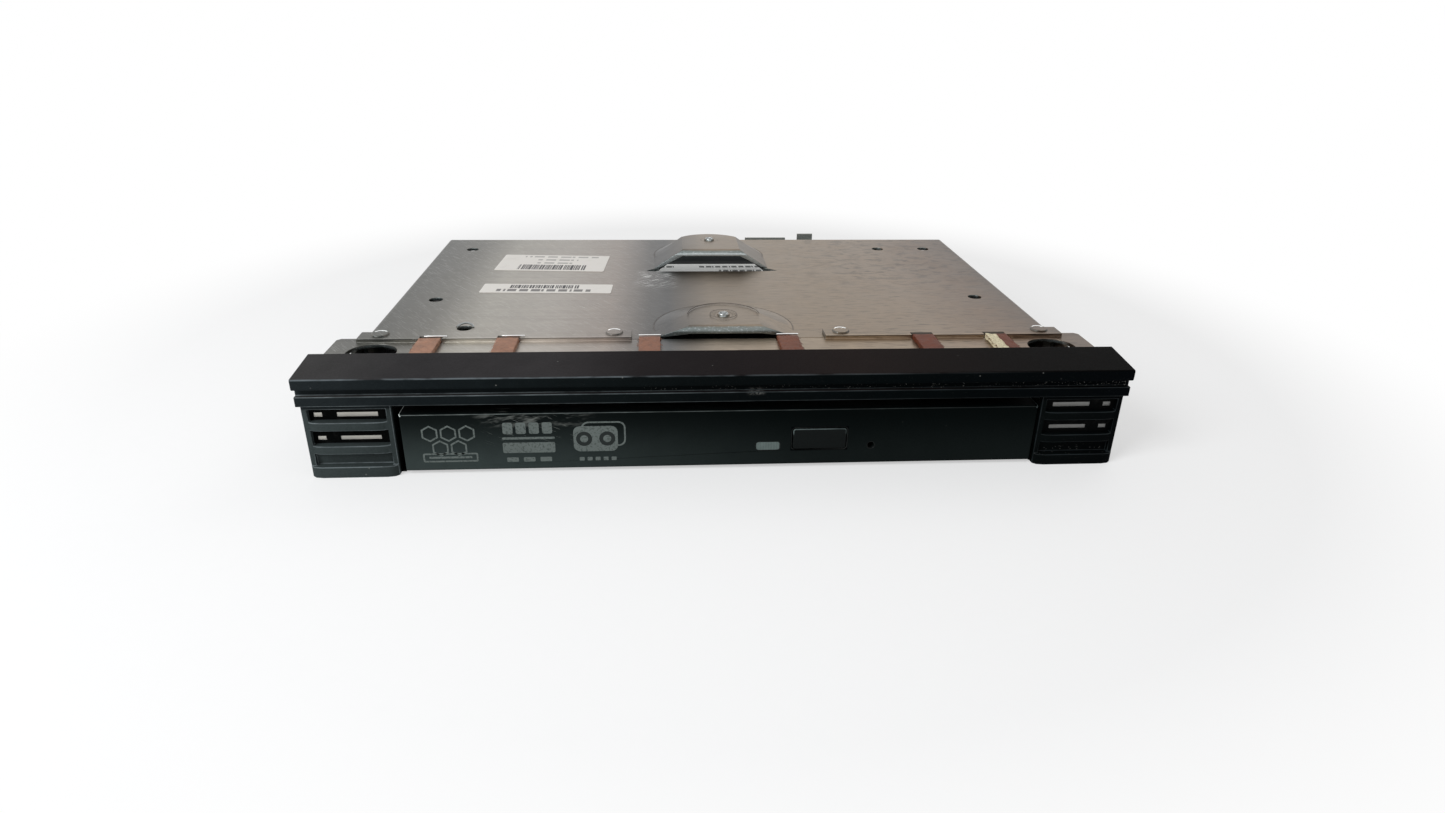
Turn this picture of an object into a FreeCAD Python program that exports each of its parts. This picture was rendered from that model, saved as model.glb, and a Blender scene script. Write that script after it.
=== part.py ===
"""A slim tray-loading disc drive in its folded sheet carrier, as a parametric document.

Millimetres. +X is to the right of somebody facing the drive, +Y points back, +Z up.
The origin lies under the middle of the whole part, in the plane that it stands on.
Every driving size is a cell of the sheet; each piece is a body bound to those cells.
"""
import FreeCAD, Part
import math
import os
import Sketcher

DOC = FreeCAD.newDocument("disc_drive")
SHEET = DOC.addObject("Spreadsheet::Sheet", "Sizes")
V = FreeCAD.Vector


class Size:
    """A length that knows its number and the sheet formula that gives it."""

    def __init__(self, value, formula):
        self.value = value
        self.formula = formula

    def __add__(self, other):
        return Size(self.value + number(other), f"({self.formula} + {formula(other)})")

    def __radd__(self, other):
        return Size(number(other) + self.value, f"({formula(other)} + {self.formula})")

    def __sub__(self, other):
        return Size(self.value - number(other), f"({self.formula} - {formula(other)})")

    def __rsub__(self, other):
        return Size(number(other) - self.value, f"({formula(other)} - {self.formula})")

    def __mul__(self, other):
        return Size(self.value * number(other), f"({self.formula} * {formula(other)})")

    def __rmul__(self, other):
        return Size(number(other) * self.value, f"({formula(other)} * {self.formula})")

    def __truediv__(self, other):
        return Size(self.value / number(other), f"({self.formula} / {formula(other)})")

    def __neg__(self):
        return Size(-self.value, f"(0 - {self.formula})")


def number(item):
    """The plain number of a size or of a number."""
    return item.value if isinstance(item, Size) else float(item)


def formula(item):
    """The sheet formula of a size or of a number."""
    return item.formula if isinstance(item, Size) else repr(float(item))


class Sizes:
    """The driving sizes, each one a cell of the sheet and an attribute here."""

    def __init__(self, cells):
        for row, (name, value) in enumerate(cells.items(), start=1):
            SHEET.set(f"A{row}", name)
            SHEET.set(f"B{row}", str(value))
            SHEET.setAlias(f"B{row}", name)
            setattr(self, name, Size(float(value), f"Sizes.{name}"))


SIZES = {
    # Moulded bezel
    "lip_over": 0.4,  # how far the lips stand out beyond an end block
    "block_over": 0.6,  # how far an end block stands out beyond the ears
    "face_room": 0.9,  # gap from the drive's side to an end block
    "block_top": 15.64,  # underside of the lower lip
    "lip_upper_out": 1.74,  # how far the upper lip stands forward of the blocks
    "lip_lower_out": 1.17,  # how far the lower lip stands forward of the blocks
    "lip_lower_top": 17.7,  # top of the lower lip
    "lip_upper_bottom": 19.2,  # bottom of the upper lip
    "lip_upper_top": 21.55,  # top front edge of the bezel
    "groove_out": 0.2,  # how far the groove's floor stands forward of the blocks
    "hood_back": 9.14,  # rear edge of the bezel's top
    "hood_high": 22.6,  # height of the rear edge of the bezel's top
    "hood_wall": 1.4,  # thickness of the bezel's front wall behind the blocks' face
    "lip_round": 0.45,  # edge radius of the bezel's top lip
    "hood_gap": 0.15,  # gap from the flange strip to the bezel above it
    "cheek_wall": 1.0,  # thickness of the end blocks' side walls
    "bar_top": 2.4,  # top of the bar along the bottom of a block
    "bar_out": 0.9,  # how far that bar bulges forward
    "bar_end": 2.2,  # length over which the bar's ends curve back
    "slat_end": 2.4,  # length over which a slat's ends curve back
    "slat_out": 0.55,  # how far a slat stands forward of the blocks
    "slat_low_bottom": 5.05,  # bottom of the lower slat
    "slat_low_top": 6.8,  # top of the lower slat
    "slat_high_bottom": 10.1,  # bottom of the upper slat
    "slat_high_top": 11.9,  # top of the upper slat
    "vent_top": 14.5,  # top of the upper vent
    "recess_deep": 0.9,  # depth of the blind recess under the slats
    "rib_wide": 1.2,  # thickness of a rib behind the bezel
    "rib_pitch": 26.0,  # pitch of those ribs
    # Folded sheet
    "gauge": 0.8,  # thickness of the carrier's sheet
    "bend": 1.0,  # outer radius of a bend
    "plate_top": 20.6,  # height of the carrier's top face
    "side_room": 10.9,  # gap from the drive's side to the carrier's wall
    "plate_front": 21.5,  # front edge of the carrier's top
    "plate_back": 108.65,  # rear edge of the carrier's top
    "cheek_gap": 0.05,  # gap between the carrier's walls and the flange's cheeks
    "cheek_back": 27.0,  # rear edge of the flange's cheeks
    "cheek_low": 3.0,  # bottom of the flange's cheeks
    "wall_front": 1.6,  # front face of the flange's wall behind the bezel
    "wall_low": 1.2,  # bottom of that wall
    "wall_in": 0.7,  # how far the flange's wall stays inside the ears
    "window_gap": 1.3,  # gap from the drive's side to the flange's window
    "ear_out": 5.5,  # how far the ears stand out beyond the carrier's walls
    "ear_back": 23.0,  # rear edge of the ears
    "ear_corner": 0.8,  # corner radius of the ears
    "ear_hole_in": 9.3,  # distance of an ear's hole from the ear's edge
    "ear_hole_back": 14.6,  # distance of an ear's hole from the front
    "ear_hole_radius": 5.1,  # radius of an ear's hole
    "strip_back": 21.2,  # step where the flange's laps rise over the carrier
    "lap_back": 24.9,  # rear edge of the laps
    "lap_left_end": 18.8,  # inner end of the left lap, from the middle
    "lap_right_end": 23.4,  # inner end of the right lap, from the middle
    "lap_run": 0.8,  # overlap of strip and lap at the step
    "clinch_radius": 1.9,  # radius of a clinched dimple
    "clinch_rise": 0.35,  # height of a clinched dimple
    "clinch_slope": 0.2,  # size of its chamfered edge
    "clinch_in": 3.4,  # distance of the outer dimples from the carrier's wall
    "clinch_back": 23.3,  # distance of the dimples from the front
    "slit_low": 7.2,  # bottom of the lower air slits
    "slit_high": 12.0,  # bottom of the upper air slits
    "slit_tall": 1.1,  # height of an air slit
    "slit_in": 13.8,  # inner end of the wide air slits, from the block's outer face
    "slit_mid": 5.6,  # outer end of the wide air slits, from there
    "slit_out": 3.1,  # inner end of the narrow air slits, from there
    "slit_end": 1.8,  # outer end of the narrow air slits, from there
    # Scoops in the top
    "scoop_middle": 1.6,  # distance of the scoops' middle line from the middle
    "scoop_base_half": 15.6,  # half width of a scoop at the plate
    "scoop_top_half": 7.8,  # half width of a scoop's flat top
    "scoop_front_near": 22.0,  # front of the front scoop
    "scoop_front_far": 77.0,  # front of the rear scoop
    "scoop_rise_near": 2.5,  # height of the front scoop
    "scoop_rise_far": 5.0,  # height of the rear scoop
    "scoop_base_near": 5.5,  # straight part of the front scoop's sides
    "scoop_base_far": 12.7,  # straight part of the rear scoop's sides
    "scoop_long_near": 22.9,  # length of the front scoop at the plate
    "scoop_long_far": 29.6,  # length of the rear scoop at the plate
    "scoop_flat_near": 9.5,  # straight part of the front scoop's flat top
    "scoop_flat_far": 15.0,  # straight part of the rear scoop's flat top
    "scoop_crown_near": 15.4,  # length of the front scoop's flat top
    "scoop_crown_far": 18.3,  # length of the rear scoop's flat top
    "scoop_wall": 1.3,  # width of a scoop's sloping side where it is cut
    "scoop_round": 1.4,  # radius of a scoop's front top edge
    "scoop_lip": 0.9,  # how far the front lip turns down
    "scoop_slot": 3.2,  # length of the slot cut in front of the rear scoop
    "scoop_slot_half": 18.0,  # half width of that slot
    "nub_radius": 1.4,  # radius of the nub on a scoop
    "nub_rise": 0.35,  # height of the nub
    "nub_back_near": 7.7,  # distance of the nub from the front scoop's front
    "nub_back_far": 11.3,  # distance of the nub from the rear scoop's front
    # Holes in the top
    "hole_radius": 1.65,  # radius of the carrier's round holes
    "hole_across": 66.6,  # distance of the four holes from the middle
    "hole_near": 49.9,  # distance of the near pair from the front
    "hole_far": 97.3,  # distance of the far pair from the front
    "tool_hole_across": 52.7,  # distance of the tooling hole from the middle
    "tab_hole_across": 55.8,  # distance of the small hole at the front from the middle
    "tab_hole_back": 29.2,  # distance of that small hole from the front
    # Gaskets
    "gasket_wide": 4.5,  # width of a gasket
    "gasket_slot": 4.8,  # width of its slot
    "gasket_inner": 14.9,  # distance of the inner pair from the middle
    "gasket_step": 16.3,  # pitch from the middle pair to the outer pair
    "gasket_edge": 14.5,  # distance of the outer pair from the carrier's walls
    "gasket_front": 4.0,  # front end of a gasket
    "gasket_under": 9.0,  # front end of the turn under the strip
    "gasket_back": 20.5,  # rear face of a gasket
    "gasket_thick": 1.0,  # thickness of a gasket
    "gasket_fold": 0.9,  # thickness of its turn through the slot
    "gasket_torn": 2.2,  # width of bare foam on the torn gasket
    # Labels
    "label_thick": 0.1,  # thickness of a label
    "rating_wide": 29.4,  # width of the large label
    "rating_deep": 15.7,  # depth of the large label
    "rating_left": 57.0,  # distance of its left edge from the middle
    "rating_front": 75.5,  # distance of its front corner from the front
    "rating_turn": -3.6,  # turn of the large label in degrees
    "serial_wide": 32.6,  # width of the narrow label
    "serial_deep": 7.3,  # depth of the narrow label
    "serial_left": 57.4,  # distance of its left edge from the middle
    "serial_front": 55.4,  # distance of its front corner from the front
    "serial_turn": -2.2,  # turn of the narrow label in degrees
    "case_label_left": 32.0,  # left end of the label on the drive's cover
    "case_label_right": 51.0,  # right end of that label
    "case_label_front": 60.0,  # front end of that label
    "case_label_back": 110.0,  # rear end of that label
    # Drive case
    "drive_half": 64.0,  # half the drive's width
    "drive_deep": 127.0,  # depth of the drive
    "drive_high": 12.7,  # height of the drive
    "drive_across": 0.3,  # offset of the drive's middle in the carrier
    "drive_lift": 0.65,  # height of the drive's bottom
    "tin": 0.6,  # thickness of the drive's sheet
    "case_front": 5.6,  # front edge of the drive's case
    "cover_drop": 4.2,  # depth of the cover's flanges
    "side_hole_high": 4.2,  # height of the side screws
    "side_hole_near": 40.0,  # distance of the front side screws from the face
    "side_hole_far": 94.0,  # distance of the rear side screws from the face
    "cover_screw_near": 20.0,  # distance of the cover's front screws from the face
    "cover_screw_far": 116.0,  # distance of the cover's rear screws from the face
    "cover_screw_high": 10.4,  # height of the cover's screws
    "cover_screw_flat": 0.45,  # thickness of their heads
    "vent_across": 34.0,  # pitch of the openings in the base's floor
    "vent_half": 6.0,  # half width of an opening in the floor
    "vent_front": 24.0,  # front end of those openings
    "vent_deep": 18.0,  # depth of those openings
    "screw_core": 0.9,  # radius of a small screw's shank
    "screw_head": 1.9,  # radius of a small screw's head
    "screw_flat": 0.6,  # thickness of a small screw's head
    # Brackets
    "bracket_front": 33.0,  # front end of a side bracket
    "bracket_back": 101.0,  # rear end of a side bracket
    "bracket_low": 1.8,  # bottom of a bracket's inner flange
    "bracket_web": 7.8,  # underside of a bracket's web
    "bracket_high": 16.0,  # top of a bracket's outer flange
    "rivet_high": 12.4,  # height of the rivets
    "rivet_near": 45.0,  # distance of the front rivets from the front
    "rivet_far": 89.0,  # distance of the rear rivets from the front
    "rivet_radius": 1.2,  # radius of a rivet
    "rivet_head": 2.2,  # radius of a rivet's head
    "rivet_flat": 0.45,  # thickness of a rivet's head
    # Rear adapter
    "plug_middle": 34.0,  # distance of the drive's rear connector from the middle
    "plug_wide": 46.0,  # width of the drive's rear connector
    "plug_tall": 4.6,  # height of that connector
    "plug_in": 4.0,  # how far the connector reaches into the drive
    "plug_out": 2.5,  # how far the connector stands behind the drive
    "board_thick": 1.6,  # thickness of the adapter board
    "board_left": 4.0,  # left end of the adapter board
    "board_right": 62.0,  # right end of the adapter board
    "board_low": 1.5,  # bottom of the adapter board
    "board_high": 13.4,  # top of the adapter board
    "socket_left": 12.0,  # left end of the adapter's socket
    "socket_right": 52.0,  # right end of the adapter's socket
    "socket_low": 2.5,  # bottom of the adapter's socket
    "socket_high": 9.0,  # top of the adapter's socket
    "socket_deep": 6.5,  # depth of the adapter's socket
    "stand_left": -12.0,  # left bend of the adapter's bracket
    "stand_low": 1.2,  # bottom of the adapter's bracket
    "stand_high": 12.2,  # top of the adapter's bracket
    "stand_foot": 12.0,  # width of the bracket's foot on the drive
    "stand_arm_front": 108.0,  # front end of the bracket's arm along the drive
    "strip_left": 16.1,  # left end of the bracket's raised strip
    "strip_right": 29.6,  # right end of the raised strip
    "strip_high": 15.6,  # top of the raised strip
    "tab_left": 33.6,  # left end of the bracket's tab
    "tab_right": 38.7,  # right end of the tab
    "tab_high": 16.9,  # top of the tab
    "adapter_screw_high": 11.2,  # height of the board's screws
    "adapter_screw_inset": 3.6,  # inset of the board's screws
    # Tray
    "face_deep": 5.0,  # depth of the tray's front panel
    "face_gap": 0.1,  # gap under and over the front panel
    "face_round": 0.5,  # edge radius of the front panel
    "tray_half": 58.0,  # half width of the tray
    "tray_back": 122.0,  # rear edge of the tray
    "tray_floor": 7.6,  # height of the tray's floor
    "tray_skin": 1.4,  # thickness of the tray's floor
    "tray_rim": 10.4,  # top of the tray's corners
    "tray_low": 2.3,  # bottom of the tray's skirt
    "tray_wall": 1.5,  # thickness of the tray's skirt
    "disc_radius": 60.5,  # radius of the recess for a disc
    "small_disc_radius": 40.6,  # radius of the recess for a small disc
    "small_disc_deep": 0.5,  # depth of that recess below the floor
    "hub_back": 66.0,  # distance of the turntable's axis from the face
    "tongue_low": 3.0,  # bottom of the tray's side tongues
    "tongue_high": 6.8,  # top of the tray's side tongues
    "slide_gap": 0.2,  # clearance between sliding flats
    "rail_tin": 0.6,  # thickness of a slide rail
    "rail_front": 12.0,  # front end of a slide rail
    "rail_back": 120.0,  # rear end of a slide rail
    "guide_wall": 0.6,  # thickness of a rail guide
    "guide_front": 8.0,  # front end of a rail guide
    "guide_back": 124.0,  # rear end of a rail guide
    "flange_in": 2.0,  # reach of a rail's flanges past its web
    "post_across_tray": 53.0,  # distance of the tray's screw posts from the middle
    "post_near": 9.5,  # distance of the front screw posts from the face
    "post_far": 106.0,  # distance of the rear screw posts from the face
    "post_tray_radius": 1.8,  # radius of a screw post
    "tray_screw_core": 0.8,  # radius of a tray screw's shank
    "tray_screw_head": 1.5,  # radius of a tray screw's head
    "tray_screw_long": 2.8,  # length of a tray screw's shank
    "belly_low": 1.7,  # bottom of the cover under the tray
    "belly_thick": 0.4,  # thickness of the cover under the tray
    # Front panel
    "button_left": 13.7,  # left edge of the eject button
    "button_right": 24.6,  # right edge of the eject button
    "button_low": 3.75,  # bottom of the eject button
    "button_high": 8.2,  # top of the eject button
    "button_gap": 0.2,  # gap round the eject button
    "button_round": 0.5,  # corner radius of the eject button
    "button_proud": 0.15,  # how far the button stands out
    "button_travel": 0.6,  # travel of the eject button
    "lamp_left": 6.25,  # left edge of the lamp's window
    "lamp_right": 11.0,  # right edge of the lamp's window
    "lamp_low": 3.55,  # bottom of the lamp's window
    "lamp_high": 5.3,  # top of the lamp's window
    "pin_hole_across": 29.9,  # distance of the emergency hole from the middle
    "pin_hole_high": 4.25,  # height of the emergency hole
    "pin_hole_radius": 0.7,  # radius of the emergency hole
    # Traverse
    "aim": -47.0,  # direction of the sled's travel in degrees
    "deck_low": 2.3,  # bottom of the traverse's frame
    "deck_high": 5.2,  # top of the traverse's frame
    "deck_tail": 18.0,  # reach of the frame behind the turntable
    "deck_nose": 66.0,  # reach of the frame along the travel
    "deck_half": 14.0,  # half width of the frame along the rods
    "deck_screw_side": 19.5,  # reach of the frame on the lead screw's side
    "deck_screw_nose": 62.0,  # where the lead screw's side ends
    "deck_nose_side": 18.6,  # reach of the frame beside the lead screw's far end
    "well_near": 16.0,  # near end of the sled's opening
    "well_far": 64.0,  # far end of the sled's opening
    "well_half": 12.3,  # half width of the sled's opening
    "rod_across": 10.5,  # distance of a guide rod from the middle line
    "rod_high": 3.9,  # height of the guide rods
    "rod_radius": 0.9,  # radius of a guide rod
    "rod_fit": 0.05,  # running clearance on a rod or shaft
    "sled_home": 30.0,  # where the sled's middle stands at rest
    "sled_half_long": 6.0,  # half length of the sled
    "sled_half_wide": 12.0,  # half width of the sled
    "sled_low": 2.6,  # bottom of the sled
    "sled_high": 5.2,  # top of the sled
    "sled_hump": 6.4,  # top of the sled's middle
    "arm_low": 3.8,  # bottom of the arm that follows the lead screw
    "arm_high": 5.0,  # top of that arm
    "arm_long": 3.0,  # length of that arm along the travel
    "channel_half": 1.3,  # half width of the lead screw's channel
    "pocket_half": 2.0,  # half width of the motor's pocket
    "channel_far": 59.5,  # far end of that channel
    "grommet_radius": 2.2,  # outer radius of a rubber grommet
    "grommet_bore": 1.3,  # radius of the tray's post in a grommet
    "grommet_core": 0.7,  # radius of the screw in that post
    "grommet_head": 1.9,  # radius of that screw's head
    "grommet_screw_long": 2.0,  # length of that screw's shank
    "grommet_tail": 15.0,  # distance of the rear grommets behind the turntable
    "grommet_left": 11.0,  # distance of the first grommet from the middle line
    "grommet_right": 16.0,  # distance of the second grommet from the middle line
    "lug_along": 40.0,  # distance of the third grommet along the travel
    "lug_across": 15.6,  # distance of the third grommet from the middle line
    "lug_radius": 3.4,  # radius of its lug
    "lens_half_long": 4.0,  # half length of the lens carrier
    "lens_half_wide": 5.0,  # half width of the lens carrier
    "lens_low": 6.1,  # bottom of the lens carrier
    "lens_high": 7.1,  # top of the lens carrier
    "lens_pit": 5.8,  # floor of the lens carrier's pit in the sled
    "lens_radius": 2.0,  # radius of the lens
    "lens_top": 7.8,  # top of the lens
    "slot_half": 8.1,  # half width of the dust cover's slot
    "screw_across": 16.5,  # distance of the lead screw from the middle line
    "screw_high": 4.1,  # height of the lead screw
    "screw_radius": 0.9,  # radius of the lead screw
    "screw_near": 2.0,  # near end of the lead screw
    "screw_far": 61.0,  # far end of the lead screw
    "motor_radius": 1.8,  # radius of the sled's motor
    "motor_long": 10.0,  # length of the sled's motor
    "deck_cover_thick": 0.4,  # thickness of the dust cover over the frame
    "deck_cover_gap": 0.1,  # gap under the dust cover
    # Turntable
    "bell_radius": 12.6,  # radius of the motor's rotor
    "bell_low": 3.6,  # bottom of the rotor
    "bell_high": 6.8,  # top of the rotor
    "bell_wall": 0.7,  # thickness of the rotor's wall
    "bell_gap": 0.5,  # gap round the rotor
    "shaft_radius": 1.1,  # radius of the motor's shaft
    "bush_radius": 2.6,  # radius of the motor's bush
    "table_radius": 13.6,  # radius of the turntable
    "table_high": 8.6,  # top of the turntable's rim
    "pad_thick": 0.4,  # thickness of the rubber ring
    "pad_inner": 9.6,  # inner radius of the rubber ring
    "boss_radius": 7.3,  # radius of the boss that centres a disc
    "boss_high": 10.6,  # top of that boss
    "claw_count": 3,  # number of claws in the boss
    "claw_wide": 2.2,  # width of a claw
    "claw_out": 0.35,  # how far a claw stands out of the boss
    # Boards
    "rear_board_left": 50.0,  # left end of the rear board
    "rear_board_right": 60.0,  # right end of the rear board
    "rear_board_front": 112.0,  # front edge of the rear board
    "rear_board_thick": 0.8,  # thickness of the drive's boards
    "rear_board_lift": 0.1,  # gap under the rear board
    "main_left": 50.0,  # left edge of the tray's board
    "main_waist": 28.0,  # right edge of its long part
    "main_front": 9.0,  # front edge of the tray's board
    "main_bend": 55.0,  # where its slanted edge ends
    "main_back": 104.0,  # rear edge of the tray's board
    "main_tip": 25.0,  # right end of its front part
    "main_tip_back": 14.5,  # rear edge of its front part
    "main_lift": 0.3,  # gap from the cover under the tray to its board
    "chip_high": 1.1,  # height of a chip
    "chip_wide": 13.6,  # width of the large chip
    "chip_deep": 14.0,  # depth of the large chip
    "chip_small": 9.6,  # width and depth of the two small chips
    "chip_step": 22.0,  # pitch from the large chip to the one behind it
    "board_post_left": 47.5,  # distance of the left board post from the middle
    "board_post_back": 45.0,  # distance of the left board post from the face
    "board_post_front": 10.5,  # distance of the front board post from the middle
    "board_post_edge": 2.4,  # inset of a board post from the board's edge
    "board_post_radius": 1.3,  # radius of a board post
    "ribbon_left": 50.0,  # left edge of the ribbon cable
    "ribbon_wide": 18.0,  # width of the ribbon cable
    "ribbon_thick": 0.12,  # thickness of the ribbon cable
    "ribbon_fold": 39.0,  # where the ribbon cable turns back
    "ribbon_rise": 96.0,  # where the ribbon cable rises to the tray's board
    "ribbon_low": 0.75,  # height of the ribbon's lower run
    "ribbon_high": 1.45,  # height of the ribbon's upper run
    "switch_left": 16.0,  # left side of the eject switch
    "switch_wide": 6.0,  # width of the eject switch
    "switch_deep": 3.4,  # depth of the eject switch
    "switch_high": 5.9,  # top of the eject switch
    "stem_wide": 2.0,  # width of the button's stem
    "stem_low": 4.2,  # bottom of the button's stem
    "stem_high": 5.7,  # top of the button's stem
    "stem_gap": 0.15,  # gap from the stem to the switch when pressed home
    "button_deep": 4.0,  # depth of the button's cap
    # Latch
    "post_across": 40.0,  # distance of the latch post from the middle
    "post_back": 117.0,  # distance of the latch post from the face
    "post_radius": 1.2,  # radius of the latch post
    "post_high": 5.2,  # top of the latch post
    "latch_front": 98.0,  # distance of the latch's pivot from the face
    "latch_across": 36.6,  # distance of the latch's pivot from the middle
    "latch_low": 2.7,  # bottom of the latch
    "latch_thick": 1.6,  # thickness of the latch
    "latch_wide": 2.4,  # width of the latch's arm
    "latch_eye": 2.3,  # radius of the latch's eye round its pivot
    "latch_turn": 10.0,  # turn of the latch from engaged to released, in degrees
    "pivot_radius": 1.3,  # radius of the latch's pivot
    "latch_gap": 0.4,  # gap from the latch to its post when engaged
    "finger_wide": 1.2,  # width of the latch's finger
    "finger_long": 3.2,  # reach of the finger past the arm
    "latch_tail": 4.0,  # reach of the latch behind its pivot
    "magnet_left": 26.0,  # left side of the latch's solenoid
    "magnet_wide": 7.4,  # width of the solenoid
    "magnet_front": 101.0,  # front of the solenoid
    "magnet_deep": 8.0,  # depth of the solenoid
    "magnet_high": 5.6,  # top of the solenoid
    "spring_left": 52.0,  # left end of the eject spring
    "spring_long": 14.0,  # length of the eject spring
    "spring_low": 2.8,  # bottom of the eject spring
    "spring_high": 5.6,  # top of the eject spring
    "spring_thick": 0.3,  # thickness of the eject spring
}

S = Sizes(SIZES)

plate_half = S.drive_half + S.side_room + S.gauge
ear_half = plate_half + S.ear_out
wall_half = ear_half - S.wall_in
block_half = ear_half + S.block_over
lip_half = block_half + S.lip_over
block_inner = S.drive_half + S.face_room
window_half = S.drive_half + S.window_gap
ear_hole_across = ear_half - S.ear_hole_in
clinch_outer = plate_half - S.clinch_in
gasket_outer = plate_half - S.gasket_edge
lip_front = -S.lip_upper_out
rear_reach = S.drive_deep + S.plug_out + S.board_thick + S.socket_deep
front = -(rear_reach - S.lip_upper_out) / 2
plate_under = S.plate_top - S.gauge
wall_inner = plate_half - S.gauge
stand_front = S.drive_deep + S.plug_out + S.board_thick
stand_back = stand_front + S.gauge
base_half = S.drive_half - S.tin
wall_back = S.wall_front + S.gauge
cheek_in = plate_half + S.cheek_gap
cheek_out = cheek_in + S.gauge
case_inner = base_half - S.tin
case_top = S.drive_high - S.tin
rail_web = case_inner - S.guide_wall - S.slide_gap - S.rail_tin
tongue_half = rail_web - S.slide_gap
rail_low = S.tongue_low - S.slide_gap - S.rail_tin
rail_high = S.tongue_high + S.slide_gap + S.rail_tin
floor_under = S.tray_floor - S.tray_skin
belly_top = S.belly_low + S.belly_thick
plug_low = S.tin + S.rear_board_lift + S.rear_board_thick
main_low = belly_top + S.main_lift
main_high = main_low + S.rear_board_thick
switch_front = S.main_front
stem_left = (S.button_left + S.button_right - S.stem_wide) / 2
stator_low = S.deck_low + S.gauge / 2
grommet_low = S.deck_low + S.screw_flat
rod_near = S.well_near - S.rod_radius * 2
rod_far = S.well_far + S.rod_radius * 1.8
arm_hole = S.drive_deep - S.stand_foot / 2
foot_middle = S.stand_left - S.stand_foot / 2
foot_high = S.drive_lift + S.drive_high / 2

CARRIER = (Size(0.0, "0"), front, Size(0.0, "0"), None)
DRIVE = (S.drive_across, front, S.drive_lift, None)
TRAVERSE = (S.drive_across, front + S.hub_back, S.drive_lift, S.aim)
LATCH = (S.drive_across + S.latch_across, front + S.latch_front, S.drive_lift, S.latch_turn)
ON_TRAVERSE = (0.0, S.hub_back, S.aim)

PIECES = []


class Ring:
    """A closed loop of straight edges through the given points."""

    def __init__(self, *points):
        self.points = points

    def draw(self, sketch):
        first = sketch.GeometryCount
        count = len(self.points)
        spots = [V(number(x), number(y), 0) for x, y in self.points]
        for index in range(count):
            sketch.addGeometry(Part.LineSegment(spots[index], spots[(index + 1) % count]), False)
        for index in range(count):
            after = first + (index + 1) % count
            sketch.addConstraint(Sketcher.Constraint("Coincident", first + index, 2, after, 1))
        for index, (x, y) in enumerate(self.points):
            pin(sketch, first + index, 1, x, y)


class Disc:
    """A full circle about a point."""

    def __init__(self, x, y, radius):
        self.x, self.y, self.radius = x, y, radius

    def draw(self, sketch):
        middle = V(number(self.x), number(self.y), 0)
        circle = Part.Circle(middle, V(0, 0, 1), number(self.radius))
        place = sketch.addGeometry(circle, False)
        pin(sketch, place, 3, self.x, self.y)
        hold(sketch, "Radius", (place,), self.radius)


class Pill:
    """A rectangle whose four corners are round."""

    def __init__(self, x0, y0, x1, y1, radius):
        self.x0, self.y0, self.x1, self.y1, self.radius = x0, y0, x1, y1, radius

    def draw(self, sketch):
        first = sketch.GeometryCount
        x0, y0, x1, y1 = (number(edge) for edge in (self.x0, self.y0, self.x1, self.y1))
        radius = number(self.radius)
        low = (x0 + radius, y0 + radius)
        high = (x1 - radius, y1 - radius)
        corners = [(high[0], low[1], -90), (high[0], high[1], 0), (low[0], high[1], 90),
                   (low[0], low[1], 180)]
        runs = [((low[0], y0), (high[0], y0)), ((x1, low[1]), (x1, high[1])),
                ((high[0], y1), (low[0], y1)), ((x0, high[1]), (x0, low[1]))]
        for (start, end), (cx, cy, turn) in zip(runs, corners):
            sketch.addGeometry(Part.LineSegment(V(*start, 0), V(*end, 0)), False)
            circle = Part.Circle(V(cx, cy, 0), V(0, 0, 1), radius)
            arc = Part.ArcOfCircle(circle, math.radians(turn), math.radians(turn + 90))
            sketch.addGeometry(arc, False)
        for index in range(8):
            after = first + (index + 1) % 8
            sketch.addConstraint(Sketcher.Constraint("Tangent", first + index, 2, after, 1))
        for index, kind in ((0, "Horizontal"), (2, "Vertical"), (4, "Horizontal"), (6, "Vertical")):
            sketch.addConstraint(Sketcher.Constraint(kind, first + index))
        for index in (3, 5, 7):
            sketch.addConstraint(Sketcher.Constraint("Equal", first + 1, first + index))
        hold(sketch, "Radius", (first + 1,), self.radius)
        pin(sketch, first + 7, 3, self.x0 + self.radius, self.y0 + self.radius)
        pin(sketch, first + 3, 3, self.x1 - self.radius, self.y1 - self.radius)


class Vault:
    """Three straight edges closed by an arc: the plan of a scoop, with its round end at the back."""

    def __init__(self, middle, half, front, straight, crown):
        self.middle, self.half = middle, half
        self.front, self.straight, self.crown = front, straight, crown

    def draw(self, sketch):
        first = sketch.GeometryCount
        left, right = self.middle - self.half, self.middle + self.half
        near, far = self.front, self.front + self.straight
        spots = [V(number(x), number(y), 0) for x, y in
                 ((left, far), (left, near), (right, near), (right, far))]
        peak = V(number(self.middle), number(self.front + self.crown), 0)
        for start, end in zip(spots, spots[1:]):
            sketch.addGeometry(Part.LineSegment(start, end), False)
        sketch.addGeometry(Part.Arc(spots[3], peak, spots[0]), False)
        for index in range(4):
            after = first + (index + 1) % 4
            sketch.addConstraint(Sketcher.Constraint("Coincident", first + index, 2, after, 1))
        for index, (x, y) in enumerate(((left, far), (left, near), (right, near))):
            pin(sketch, first + index, 1, x, y)
        pin(sketch, first + 2, 2, right, far)
        half, rise = self.half, self.crown - self.straight
        hold(sketch, "Radius", (first + 3,), (half * half + rise * rise) / (2 * rise))


def hold(sketch, kind, where, size):
    """Add one dimension to a sketch and bind it to its size."""
    place = sketch.addConstraint(Sketcher.Constraint(kind, *where, number(size)))
    if isinstance(size, Size):
        sketch.setExpression(f"Constraints[{place}]", size.formula)


def pin(sketch, place, point, x, y):
    """Dimension one point of a sketch from the sketch's origin."""
    hold(sketch, "DistanceX", (-1, 1, place, point), x)
    hold(sketch, "DistanceY", (-1, 1, place, point), y)


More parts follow.
